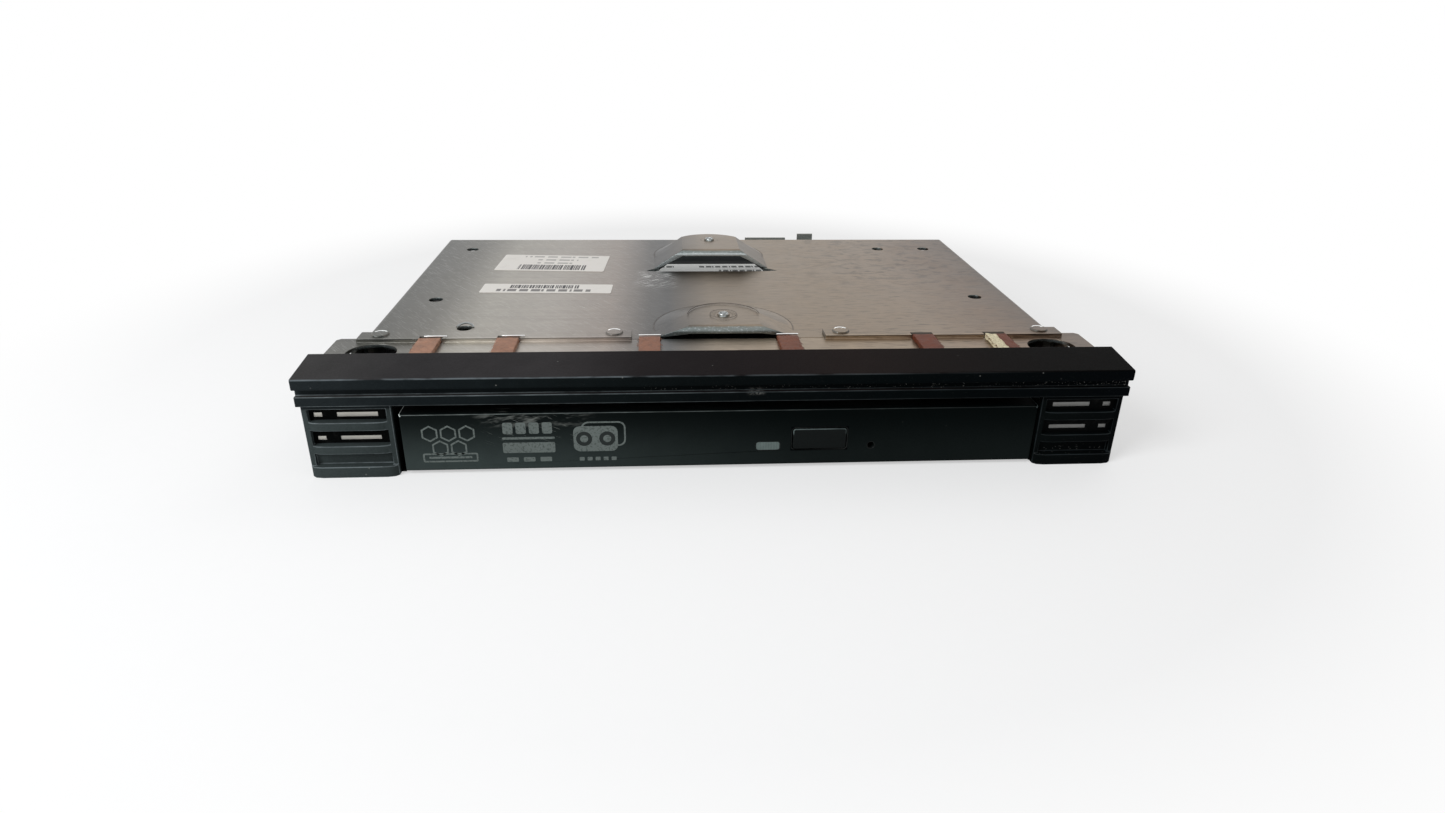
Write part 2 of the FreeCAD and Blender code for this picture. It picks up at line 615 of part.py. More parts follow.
def box(x0, y0, x1, y1):
    """A rectangle between two corners."""
    return Ring((x0, y0), (x1, y0), (x1, y1), (x0, y1))


def bind(thing, prop, size):
    """Set a property of a feature and bind it to its size."""
    if isinstance(size, Size):
        thing.setExpression(prop, size.formula)
    else:
        setattr(thing, prop, size)


class Piece:
    """One piece of the drive: a body, its sketches on its own planes, and its features."""

    NORMAL = {"XY": 1, "XZ": -1, "YZ": 1}

    def __init__(self, name, frame):
        self.body = DOC.addObject("PartDesign::Body", name)
        self.body.Label = name
        x, y, z, turn = frame
        if turn is not None:
            spin = FreeCAD.Rotation(V(0, 0, 1), number(turn))
            self.body.Placement = FreeCAD.Placement(V(), spin)
            self.body.setExpression("Placement.Rotation.Angle", turn.formula)
        for axis, size in (("x", x), ("y", y), ("z", z)):
            self.body.setExpression(f"Placement.Base.{axis}", size.formula)
        PIECES.append(self.body)

    def origin(self, role):
        """The body's own plane or axis of that role."""
        return next(item for item in self.body.Origin.OriginFeatures if item.Role == role)

    def sketch(self, plane, level, *loops, about=None):
        """A sketch on one of the body's planes, at a level and, if asked, turned about a point."""
        sketch = self.body.newObject("Sketcher::SketchObject", "Outline")
        sketch.AttachmentSupport = [(self.origin(f"{plane}_Plane"), "")]
        sketch.MapMode = "FlatFace"
        x, y, turn = about or (0.0, 0.0, 0.0)
        offset = level * self.NORMAL[plane]
        spin = FreeCAD.Rotation(V(0, 0, 1), number(turn))
        place = V(number(x), number(y), number(offset))
        sketch.AttachmentOffset = FreeCAD.Placement(place, spin)
        for prop, size in (("Base.x", x), ("Base.y", y), ("Base.z", offset),
                           ("Rotation.Angle", turn)):
            if isinstance(size, Size):
                sketch.setExpression(f"AttachmentOffset.{prop}", size.formula)
        for loop in loops:
            loop.draw(sketch)
        sketch.Visibility = False
        return sketch

    def pad(self, plane, low, high, *loops, about=None):
        """Add material between two levels along the plane's axis."""
        start = low if self.NORMAL[plane] > 0 else high
        sketch = self.sketch(plane, start, *loops, about=about)
        pad = self.body.newObject("PartDesign::Pad", "Pad")
        pad.Profile = sketch
        bind(pad, "Length", high - low)
        return pad

    def cut(self, plane, low, high, *loops, about=None):
        """Take material away between two levels along the plane's axis."""
        start = high if self.NORMAL[plane] > 0 else low
        sketch = self.sketch(plane, start, *loops, about=about)
        pocket = self.body.newObject("PartDesign::Pocket", "Pocket")
        pocket.Profile = sketch
        pocket.Type = "Length"
        bind(pocket, "Length", high - low)
        return pocket

    def turn(self, *loops):
        """Revolve loops drawn in X and Z about the body's own Z axis."""
        sketch = self.sketch("XZ", 0.0, *loops)
        turned = self.body.newObject("PartDesign::Revolution", "Turned")
        turned.Profile = sketch
        turned.ReferenceAxis = (sketch, ["V_Axis"])
        turned.Angle = 360
        return turned

    def loft(self, kind, low, low_loop, high, high_loop):
        """Join two loops at two heights; the kind is Additive or Subtractive."""
        below = self.sketch("XY", low, low_loop)
        above = self.sketch("XY", high, high_loop)
        loft = self.body.newObject(f"PartDesign::{kind}Loft", "Loft")
        loft.Profile = below
        loft.Sections = [above]
        loft.Ruled = True
        return loft

    def fillet(self, radius, chosen):
        """Round the edges for which the test is true."""
        return self.dress("PartDesign::Fillet", "Radius", radius, chosen)

    def chamfer(self, size, chosen):
        """Bevel the edges for which the test is true."""
        return self.dress("PartDesign::Chamfer", "Size", size, chosen)

    def dress(self, kind, prop, size, chosen):
        DOC.recompute()
        base = self.body.Tip
        names = []
        for index, edge in enumerate(base.Shape.Edges, 1):
            start, end = edge.Vertexes[0].Point, edge.Vertexes[-1].Point
            if chosen(start, end):
                names.append(f"Edge{index}")
        feature = self.body.newObject(kind, "Dressed")
        feature.Base = (base, names)
        bind(feature, prop, size)
        return feature


def near(first, second):
    """True where two numbers are the same to a thousandth."""
    return abs(first - number(second)) < 1e-3


def both(start, end, axis, level):
    """True where both ends of an edge lie at one level along an axis."""
    return near(getattr(start, axis), level) and near(getattr(end, axis), level)


def lengthwise(start, end, half, top):
    """True for the two long edges at a half width and a height."""
    return near(abs(start.x), half) and near(start.x, end.x) and both(start, end, "z", top)


def bowed(low, high, out, end):
    """A plan that bulges forward between two ends, flat along its middle."""
    return Ring((low, 0.0), (low + end / 3, -out * 0.7), (low + end, -out), (high - end, -out),
                (high - end / 3, -out * 0.7), (high, 0.0))


def sides(inner, outer):
    """The low and high ends of the same span on the left and then on the right."""
    return ((-1, -outer, -inner), (1, inner, outer))


def front_bezel():
    """The black moulding: a hood over two end blocks with slatted vents."""
    piece = Piece("front_bezel", CARRIER)
    inner_top = S.plate_top + S.hood_gap
    piece.pad("YZ", -lip_half, lip_half,
              Ring((-S.lip_lower_out, S.block_top), (S.hood_wall, S.block_top),
                   (S.hood_wall, inner_top), (S.hood_back, inner_top),
                   (S.hood_back, S.hood_high), (lip_front, S.lip_upper_top),
                   (lip_front, S.lip_upper_bottom), (-S.groove_out, S.lip_upper_bottom),
                   (-S.groove_out, S.lip_lower_top), (-S.lip_lower_out, S.lip_lower_top)))
    vent_out = block_half - S.cheek_wall
    vent_in = block_inner + S.cheek_wall
    slats = ((S.slat_low_bottom, S.slat_low_top), (S.slat_high_bottom, S.slat_high_top))
    for side, low, high in sides(block_inner, block_half):
        piece.pad("XZ", 0.0, S.wall_front, box(low, 0.0, high, S.block_top))
    for side, low, high in sides(vent_out, block_half):
        piece.pad("XZ", 0.0, S.hood_back, box(low, 0.0, high, inner_top))
    for side, low, high in sides(vent_in, vent_out):
        piece.cut("XZ", -S.bar_out, S.wall_front, box(low, S.slat_high_top, high, S.vent_top))
        piece.cut("XZ", -S.bar_out, S.wall_front,
                  box(low, S.slat_low_top, high, S.slat_high_bottom))
        piece.cut("XZ", -S.bar_out, S.recess_deep, box(low, S.bar_top, high, S.slat_low_bottom))
        for bottom, top in slats:
            piece.pad("XY", bottom, top, bowed(low, high, S.slat_out, S.slat_end))
    for side, low, high in sides(block_inner, block_half):
        piece.pad("XY", 0.0, S.bar_top, bowed(low, high, S.bar_out, S.bar_end))
        for step in range(3):
            middle = side * S.rib_pitch * (step + 0.5)
            piece.pad("YZ", middle - S.rib_wide / 2, middle + S.rib_wide / 2,
                      box(S.hood_wall, S.block_top + S.tin, S.wall_front, inner_top))
    for middle in gasket_places():
        piece.cut("XY", inner_top, S.plate_top + S.gasket_thick + S.hood_gap,
                  box(middle - S.gasket_slot / 2, S.gasket_front - S.hood_gap,
                      middle + S.gasket_slot / 2, S.hood_back))
    piece.fillet(S.lip_round, lambda a, b: both(a, b, "y", lip_front) and abs(a.x - b.x) > 10)


def front_flange():
    """The folded sheet behind the bezel: strip with ears and laps, wall with slits, cheeks."""
    piece = Piece("front_flange", CARRIER)
    hood_clear = S.hood_back + S.hood_gap
    piece.pad("XY", plate_under, S.plate_top,
              Ring((-wall_half, S.wall_front), (wall_half, S.wall_front),
                   (wall_half, hood_clear), (ear_half, hood_clear),
                   (ear_half, S.ear_back - S.ear_corner),
                   (ear_half - S.ear_corner, S.ear_back), (cheek_out, S.ear_back),
                   (cheek_out, S.strip_back), (-cheek_out, S.strip_back),
                   (-cheek_out, S.ear_back), (-ear_half + S.ear_corner, S.ear_back),
                   (-ear_half, S.ear_back - S.ear_corner), (-ear_half, hood_clear),
                   (-wall_half, hood_clear)))
    piece.pad("XZ", S.wall_front, wall_back, box(-wall_half, S.wall_low, wall_half, plate_under))
    piece.cut("XZ", S.wall_front, wall_back,
              box(-window_half, 0.0, window_half, S.block_top + S.tin))
    for side, low, high in sides(cheek_in, cheek_out):
        piece.pad("XZ", wall_back, S.cheek_back, box(low, S.cheek_low, high, plate_under))
    for bottom in (S.slit_low, S.slit_high):
        for side, low, high in sides(block_half - S.slit_in, block_half - S.slit_mid):
            piece.cut("XZ", S.wall_front, wall_back, box(low, bottom, high, bottom + S.slit_tall))
        for side, low, high in sides(block_half - S.slit_out, block_half - S.slit_end):
            piece.cut("XZ", S.wall_front, wall_back, box(low, bottom, high, bottom + S.slit_tall))
    for low, high in ((-cheek_out, -S.lap_left_end), (S.lap_right_end, cheek_out)):
        piece.pad("XY", S.plate_top, S.plate_top + S.gauge,
                  box(low, S.strip_back - S.lap_run, high, S.lap_back))
    for side, low, high in sides(cheek_in, cheek_out):
        piece.pad("XZ", S.strip_back, S.lap_back, box(low, plate_under, high, S.plate_top))
    for across in (-clinch_outer, -S.lap_left_end - S.clinch_radius * 2,
                   S.lap_right_end + S.clinch_radius * 2, clinch_outer):
        piece.pad("XY", S.plate_top + S.gauge, S.plate_top + S.gauge + S.clinch_rise,
                  Disc(across, S.clinch_back, S.clinch_radius))
    for middle in gasket_places():
        piece.cut("XY", plate_under, S.plate_top + S.gauge,
                  box(middle - S.gasket_slot / 2, S.gasket_back - S.gasket_fold,
                      middle + S.gasket_slot / 2, S.strip_back + S.ear_corner))
    for side in (-1, 1):
        piece.cut("XY", plate_under, S.plate_top,
                  Disc(side * ear_hole_across, S.ear_hole_back, S.ear_hole_radius))
    piece.fillet(S.bend, lambda a, b: both(a, b, "y", S.wall_front)
                 and both(a, b, "z", S.plate_top))
    clinch_top = S.plate_top + S.gauge + S.clinch_rise
    piece.chamfer(S.clinch_slope, lambda a, b: both(a, b, "z", clinch_top))


def gasket_places():
    """Where the six gaskets stand, from left to right."""
    across = (S.gasket_inner, gasket_outer - S.gasket_step, gasket_outer)
    return [-size for size in reversed(across)] + list(across)


def carrier_plate():
    """The carrier's folded sheet: a top and two side walls, with scoops lanced up out of the top."""
    piece = Piece("carrier_plate", CARRIER)
    piece.pad("XZ", S.plate_front, S.plate_back,
              Ring((-plate_half, 0.0), (-wall_inner, 0.0), (-wall_inner, plate_under),
                   (wall_inner, plate_under), (wall_inner, 0.0), (plate_half, 0.0),
                   (plate_half, S.plate_top), (-plate_half, S.plate_top)))
    piece.fillet(S.bend, lambda a, b: lengthwise(a, b, plate_half, S.plate_top))
    near_scoop = (S.scoop_front_near, S.scoop_rise_near, S.scoop_base_near, S.scoop_long_near,
                  S.scoop_flat_near, S.scoop_crown_near, S.nub_back_near)
    far_scoop = (S.scoop_front_far, S.scoop_rise_far, S.scoop_base_far, S.scoop_long_far,
                 S.scoop_flat_far, S.scoop_crown_far, S.nub_back_far)
    for start, rise, base, long, flat, crown, nub in (near_scoop, far_scoop):
        top = S.plate_top + rise
        piece.loft("Additive", S.plate_top,
                   Vault(S.scoop_middle, S.scoop_base_half, start, base, long),
                   top, Vault(S.scoop_middle, S.scoop_top_half, start, flat, crown))
        piece.fillet(S.scoop_round, lambda a, b, y=start, z=top: both(a, b, "y", y)
                     and both(a, b, "z", z))
        piece.pad("XY", top, top + S.nub_rise, Disc(S.scoop_middle, start + nub, S.nub_radius))
        inner = start + S.gauge
        piece.loft("Subtractive", plate_under,
                   Vault(S.scoop_middle, S.scoop_base_half - S.scoop_wall, inner,
                         base - S.gauge, long - S.gauge * 2 - S.scoop_wall),
                   top - S.gauge, Vault(S.scoop_middle, S.scoop_top_half - S.gauge / 2, inner,
                                        flat - S.gauge, crown - S.gauge * 2))
        arch = top - S.gauge - S.scoop_lip
        foot = S.scoop_base_half - S.scoop_wall
        head = S.scoop_top_half
        piece.cut("XZ", start - S.bend, inner,
                  Ring((S.scoop_middle - foot, plate_under), (S.scoop_middle + foot, plate_under),
                       (S.scoop_middle + foot, S.plate_top), (S.scoop_middle + head, arch),
                       (S.scoop_middle - head, arch), (S.scoop_middle - foot, S.plate_top)))
    slot_half = S.scoop_slot_half
    piece.cut("XY", plate_under, S.plate_top,
              Ring((S.scoop_middle - slot_half, S.scoop_front_far - S.scoop_slot * 0.8),
                   (S.scoop_middle - slot_half + S.scoop_slot, S.scoop_front_far - S.scoop_slot),
                   (S.scoop_middle + slot_half - S.scoop_slot, S.scoop_front_far - S.scoop_slot),
                   (S.scoop_middle + slot_half, S.scoop_front_far - S.scoop_slot * 0.8),
                   (S.scoop_middle + slot_half - S.scoop_slot, S.scoop_front_far),
                   (S.scoop_middle - slot_half + S.scoop_slot, S.scoop_front_far)))
    for across, back in ((-S.hole_across, S.hole_near), (S.hole_across, S.hole_near),
                         (-S.hole_across, S.hole_far), (S.hole_across, S.hole_far),
                         (S.tool_hole_across, S.hole_far)):
        piece.cut("XY", plate_under, S.plate_top, Disc(across, back, S.hole_radius))
    piece.cut("XY", plate_under, S.plate_top,
              Disc(-S.tab_hole_across, S.tab_hole_back, S.hole_radius))
    for side, low, high in sides(wall_inner, plate_half):
        for back in (S.rivet_near, S.rivet_far):
            piece.cut("YZ", low, high, Disc(back, S.rivet_high, S.rivet_radius))


def side_brackets():
    """Two folded strips that hang the drive from the carrier's walls."""
    for name, side in (("side_bracket_left", -1), ("side_bracket_right", 1)):
        piece = Piece(name, CARRIER)
        drive_side = side * base_half + S.drive_across
        flange = drive_side + side * S.gauge
        wall = side * wall_inner
        web_top = S.bracket_web + S.gauge
        piece.pad("XZ", S.bracket_front, S.bracket_back,
                  Ring((drive_side, S.bracket_low), (flange, S.bracket_low),
                       (flange, S.bracket_web), (wall, S.bracket_web), (wall, S.bracket_high),
                       (wall - side * S.gauge, S.bracket_high), (wall - side * S.gauge, web_top),
                       (drive_side, web_top)))
        ends = sorted((wall, wall - side * S.gauge), key=number)
        for back in (S.rivet_near, S.rivet_far):
            piece.cut("YZ", ends[0], ends[1], Disc(back, S.rivet_high, S.rivet_radius))
        ends = sorted((drive_side, flange), key=number)
        for back in (S.side_hole_near, S.side_hole_far):
            piece.cut("YZ", ends[0], ends[1],
                      Disc(back, S.side_hole_high + S.drive_lift, S.screw_core))
        gap = sorted((flange + side * S.bend, wall - side * S.gauge * 2), key=number)
        for back in (S.rivet_near, S.rivet_far - S.bend * 8):
            piece.cut("XY", S.bracket_web, web_top,
                      Pill(gap[0], back, gap[1], back + S.bend * 12, S.bend))


def bracket_rivets():
    """Rivets through the carrier's walls into the brackets."""
    piece = Piece("bracket_rivets", CARRIER)
    for side in (-1, 1):
        outer = side * (plate_half + S.rivet_flat)
        shank = side * plate_half
        inner = side * (wall_inner - S.gauge)
        tail = side * (wall_inner - S.gauge - S.rivet_flat)
        for back in (S.rivet_near, S.rivet_far):
            spans = (((outer, shank), S.rivet_head), ((shank, inner), S.rivet_radius),
                     ((inner, tail), S.rivet_head * 0.8))
            for ends, radius in spans:
                low, high = sorted(ends, key=number)
                piece.pad("YZ", low, high, Disc(back, S.rivet_high, radius))


def gaskets():
    """Six conductive strips clipped over the flange; the last one is torn and shows its foam."""
    profile = Ring((S.gasket_front, S.plate_top),
                   (S.gasket_back - S.gasket_fold, S.plate_top),
                   (S.gasket_back - S.gasket_fold, plate_under),
                   (S.gasket_under, plate_under), (S.gasket_under, plate_under - S.gasket_fold),
                   (S.gasket_back, plate_under - S.gasket_fold),
                   (S.gasket_back, S.plate_top + S.gasket_thick * 0.7),
                   (S.gasket_back - S.gasket_thick * 0.3, S.plate_top + S.gasket_thick),
                   (S.gasket_front + S.gasket_thick, S.plate_top + S.gasket_thick),
                   (S.gasket_front, S.plate_top + S.gasket_thick * 0.5))
    for index, middle in enumerate(gasket_places(), 1):
        low, high = middle - S.gasket_wide / 2, middle + S.gasket_wide / 2
        if index == 6:
            foam = Piece("gasket_foam", CARRIER)
            foam.pad("YZ", low, low + S.gasket_torn, profile)
            low = low + S.gasket_torn
        gasket = Piece(f"gasket_{index}", CARRIER)
        gasket.pad("YZ", low, high, profile)


def labels():
    """Two paper labels on the carrier's top and one on the drive's cover."""
    for name, left, start, wide, deep, turn in (
            ("rating_label", S.rating_left, S.rating_front, S.rating_wide, S.rating_deep,
             S.rating_turn),
            ("serial_label", S.serial_left, S.serial_front, S.serial_wide, S.serial_deep,
             S.serial_turn)):
        piece = Piece(name, (-left, front + start, S.plate_top, turn))
        piece.pad("XY", 0.0, S.label_thick, Pill(0.0, 0.0, wide, deep, S.hole_radius / 4))
    cover_label = Piece("drive_label", DRIVE)
    cover_label.pad("XY", S.drive_high, S.drive_high + S.label_thick,
                    Pill(-S.case_label_left, S.case_label_front, S.case_label_right,
                         S.case_label_back, S.bend))


def rear_adapter():
    """The small board behind the drive, its socket, the folded stand and the screws."""
    board = Piece("adapter_board", CARRIER)
    high_left, high_right = S.board_left, S.board_right
    board_front = stand_front - S.board_thick
    board.pad("XZ", board_front, stand_front, box(high_left, S.board_low, high_right, S.board_high))
    socket = Piece("adapter_socket", CARRIER)
    socket.pad("XZ", stand_front, rear_reach,
               box(S.socket_left, S.socket_low, S.socket_right, S.socket_high))
    socket.cut("XZ", stand_back + S.gauge, rear_reach,
               box(S.socket_left + S.bend, S.socket_low + S.bend, S.socket_right - S.bend,
                   S.socket_high - S.bend))
    socket.pad("XZ", stand_back, rear_reach - S.bend,
               box(S.socket_left + S.bend * 3, S.socket_low + S.bend * 2.6,
                   S.socket_right - S.bend * 3, S.socket_high - S.bend * 2.6))
    stand = Piece("adapter_bracket", CARRIER)
    arm_in = S.drive_across + base_half
    arm_out = arm_in + S.gauge
    margin = S.slide_gap
    stand.pad("XZ", stand_front, stand_back,
              Ring((S.stand_left, S.stand_low), (arm_out, S.stand_low), (arm_out, S.stand_high),
                   (S.tab_right, S.stand_high), (S.tab_right, S.tab_high),
                   (S.tab_left, S.tab_high), (S.tab_left, S.stand_high),
                   (S.strip_right, S.stand_high), (S.strip_right, S.strip_high),
                   (S.strip_left, S.strip_high), (S.strip_left, S.stand_high),
                   (S.stand_left, S.stand_high)))
    stand.cut("XZ", stand_front, stand_back,
              box(S.socket_left - margin, S.socket_low - margin, S.socket_right + margin,
                  S.socket_high + margin))
    stand.pad("YZ", arm_in, arm_out, box(S.stand_arm_front, S.stand_low, stand_front, S.bracket_web))
    stand.pad("YZ", S.stand_left, S.stand_left + S.gauge,
              box(S.drive_deep, S.stand_low, stand_front, S.stand_high))
    stand.pad("XZ", S.drive_deep, S.drive_deep + S.gauge,
              box(S.stand_left - S.stand_foot, S.stand_low, S.stand_left, S.stand_high))
    for across in (S.board_left + S.adapter_screw_inset, S.board_right - S.adapter_screw_inset):
        for low, high, who in ((board_front, stand_front, board), (stand_front, stand_back, stand)):
            who.cut("XZ", low, high, Disc(across, S.adapter_screw_high, S.screw_core))
    stand.cut("XZ", S.drive_deep, S.drive_deep + S.gauge, Disc(foot_middle, foot_high, S.screw_core))
    stand.cut("YZ", arm_in, arm_out, Disc(arm_hole, S.side_hole_high + S.drive_lift, S.screw_core))
    screws = Piece("adapter_screws", CARRIER)
    for across in (S.board_left + S.adapter_screw_inset, S.board_right - S.adapter_screw_inset):
        screws.pad("XZ", board_front, stand_back, Disc(across, S.adapter_screw_high, S.screw_core))
        screws.pad("XZ", stand_back, stand_back + S.screw_flat,
                   Disc(across, S.adapter_screw_high, S.screw_head))
    screws.pad("XZ", S.drive_deep - S.tin, S.drive_deep + S.gauge,
               Disc(foot_middle, foot_high, S.screw_core))
    screws.pad("XZ", S.drive_deep + S.gauge, S.drive_deep + S.gauge + S.screw_flat,
               Disc(foot_middle, foot_high, S.screw_head))
    arm_high = S.side_hole_high + S.drive_lift
    screws.pad("YZ", arm_in - S.tin, arm_out, Disc(arm_hole, arm_high, S.screw_core))
    screws.pad("YZ", arm_out, arm_out + S.screw_flat, Disc(arm_hole, arm_high, S.screw_head))


def drive_case():
    """The drive's folded base, its cover and the screws that hold them and the brackets."""
    base = Piece("drive_base", DRIVE)
    base.pad("XY", 0.0, S.tin, box(-base_half, S.case_front, base_half, S.drive_deep))
    for side, low, high in sides(case_inner, base_half):
        base.pad("XZ", S.case_front, S.drive_deep, box(low, S.tin, high, case_top))
    base.pad("XZ", S.drive_deep - S.tin, S.drive_deep, box(-case_inner, S.tin, case_inner, case_top))
    plug_left = S.plug_middle - S.plug_wide / 2
    base.cut("XZ", S.drive_deep - S.tin, S.drive_deep,
             box(plug_left - S.slide_gap, plug_low - S.slide_gap,
                 plug_left + S.plug_wide + S.slide_gap, plug_low + S.plug_tall + S.slide_gap))
    base.cut("XZ", S.drive_deep - S.tin, S.drive_deep,
             Disc(foot_middle - S.drive_across, foot_high - S.drive_lift, S.screw_core))
    for side, low, high in sides(case_inner, base_half):
        for back in (S.side_hole_near, S.side_hole_far):
            base.cut("YZ", low, high, Disc(back, S.side_hole_high, S.screw_core))
        for back in (S.cover_screw_near, S.cover_screw_far):
            base.cut("YZ", low, high, Disc(back, S.cover_screw_high, S.screw_core))
    base.cut("YZ", case_inner, base_half, Disc(arm_hole, S.side_hole_high, S.screw_core))
    for across in (-S.vent_across, 0.0, S.vent_across):
        base.cut("XY", 0.0, S.tin,
                 Pill(across - S.vent_half, S.vent_front, across + S.vent_half,
                      S.vent_front + S.vent_deep, S.vent_half / 4))
    cover = Piece("drive_cover", DRIVE)
    cover.pad("XY", case_top, S.drive_high,
              box(-S.drive_half, S.case_front, S.drive_half, S.drive_deep))
    for side, low, high in sides(base_half, S.drive_half):
        cover.pad("XZ", S.case_front, S.drive_deep,
                  box(low, S.drive_high - S.cover_drop, high, case_top))
        for back in (S.cover_screw_near, S.cover_screw_far):
            cover.cut("YZ", low, high, Disc(back, S.cover_screw_high, S.screw_core))
    cover.chamfer(S.tin / 2, lambda a, b: lengthwise(a, b, S.drive_half, S.drive_high))
    screws = Piece("cover_screws", DRIVE)
    for side in (-1, 1):
        for back in (S.cover_screw_near, S.cover_screw_far):
            fasten(screws, side, case_inner, S.drive_half, S.cover_screw_flat, back,
                   S.cover_screw_high)
    screws = Piece("drive_screws", DRIVE)
    for side in (-1, 1):
        for back in (S.side_hole_near, S.side_hole_far):
            fasten(screws, side, case_inner, base_half + S.gauge, S.screw_flat, back,
                   S.side_hole_high)


def fasten(piece, side, tip, seat, flat, back, height):
    """One small screw along X: its shank from the tip to the seat, and its head past the seat."""
    low, high = sorted((side * tip, side * seat), key=number)
    piece.pad("YZ", low, high, Disc(back, height, S.screw_core))
    low, high = sorted((side * seat, side * (seat + flat)), key=number)
    piece.pad("YZ", low, high, Disc(back, height, S.screw_head * 0.8))


def rear_board():
    """The board in the rear of the base with the plug, and the ribbon that follows the tray."""
    top = plug_low
    board = Piece("connector_board", DRIVE)
    board.pad("XY", top - S.rear_board_thick, top,
              box(-S.rear_board_left, S.rear_board_front, S.rear_board_right,
                  S.drive_deep - S.tin - S.slide_gap))
    board.cut("XY", top - S.rear_board_thick, top,
              Disc(S.post_across, S.post_back, S.post_radius + S.slide_gap * 2))
    plug = Piece("rear_connector", DRIVE)
    left = S.plug_middle - S.plug_wide / 2
    plug_front = S.drive_deep - S.plug_in
    plug_back = S.drive_deep + S.plug_out
    plug.pad("XZ", plug_front, plug_back, box(left, top, left + S.plug_wide, top + S.plug_tall))
    plug.cut("XZ", S.drive_deep - S.bend, plug_back,
             box(left + S.bend, top + S.bend, left + S.plug_wide - S.bend,
                 top + S.plug_tall - S.bend))
    plug.pad("XZ", S.drive_deep - S.bend, plug_back,
             box(left + S.bend * 2.4, top + S.bend * 1.8, left + S.plug_wide - S.bend * 2.4,
                 top + S.plug_tall - S.bend * 1.8))
    ribbon = Piece("flex_ribbon", DRIVE)
    skin = S.ribbon_thick
    turn_front = S.ribbon_fold - S.bend * 0.7
    ribbon.pad("YZ", -S.ribbon_left, -S.ribbon_left + S.ribbon_wide,
               Ring((S.rear_board_front, S.ribbon_low), (S.ribbon_fold, S.ribbon_low),
                    (turn_front, S.ribbon_low + skin * 2), (turn_front, S.ribbon_high - skin),
                    (S.ribbon_fold, S.ribbon_high + skin),
                    (S.ribbon_rise, S.ribbon_high + skin), (S.ribbon_rise, main_low),
                    (S.ribbon_rise + skin, main_low), (S.ribbon_rise + skin, S.ribbon_high),
                    (S.ribbon_fold + skin, S.ribbon_high),
                    (turn_front + skin, S.ribbon_high - skin * 2),
                    (turn_front + skin, S.ribbon_low + skin * 3),
                    (S.ribbon_fold + skin, S.ribbon_low + skin),
                    (S.rear_board_front, S.ribbon_low + skin)))


def slides():
    """Fixed guides on the case's walls and the steel rails that run out half as far as the tray."""
    for name, side in (("left", -1), ("right", 1)):
        guide = Piece(f"guide_{name}", DRIVE)
        wall, inner = side * case_inner, side * (case_inner - S.guide_wall)
        lip = side * (rail_web - S.flange_in + S.rail_tin)
        low = rail_low - S.slide_gap - S.guide_wall
        high = rail_high + S.slide_gap + S.guide_wall
        guide.pad("XZ", S.guide_front, S.guide_back,
                  Ring((wall, low), (wall, high), (lip, high), (lip, high - S.guide_wall),
                       (inner, high - S.guide_wall), (inner, low + S.guide_wall),
                       (lip, low + S.guide_wall), (lip, low)))
        rail = Piece(f"rail_{name}", DRIVE)
        outer, web = side * (rail_web + S.rail_tin), side * rail_web
        lip = side * (rail_web - S.flange_in)
        rail.pad("XZ", S.rail_front, S.rail_back,
                 Ring((outer, rail_low), (outer, rail_high), (lip, rail_high),
                      (lip, rail_high - S.rail_tin), (web, rail_high - S.rail_tin),
                      (web, rail_low + S.rail_tin), (lip, rail_low + S.rail_tin),
                      (lip, rail_low)))


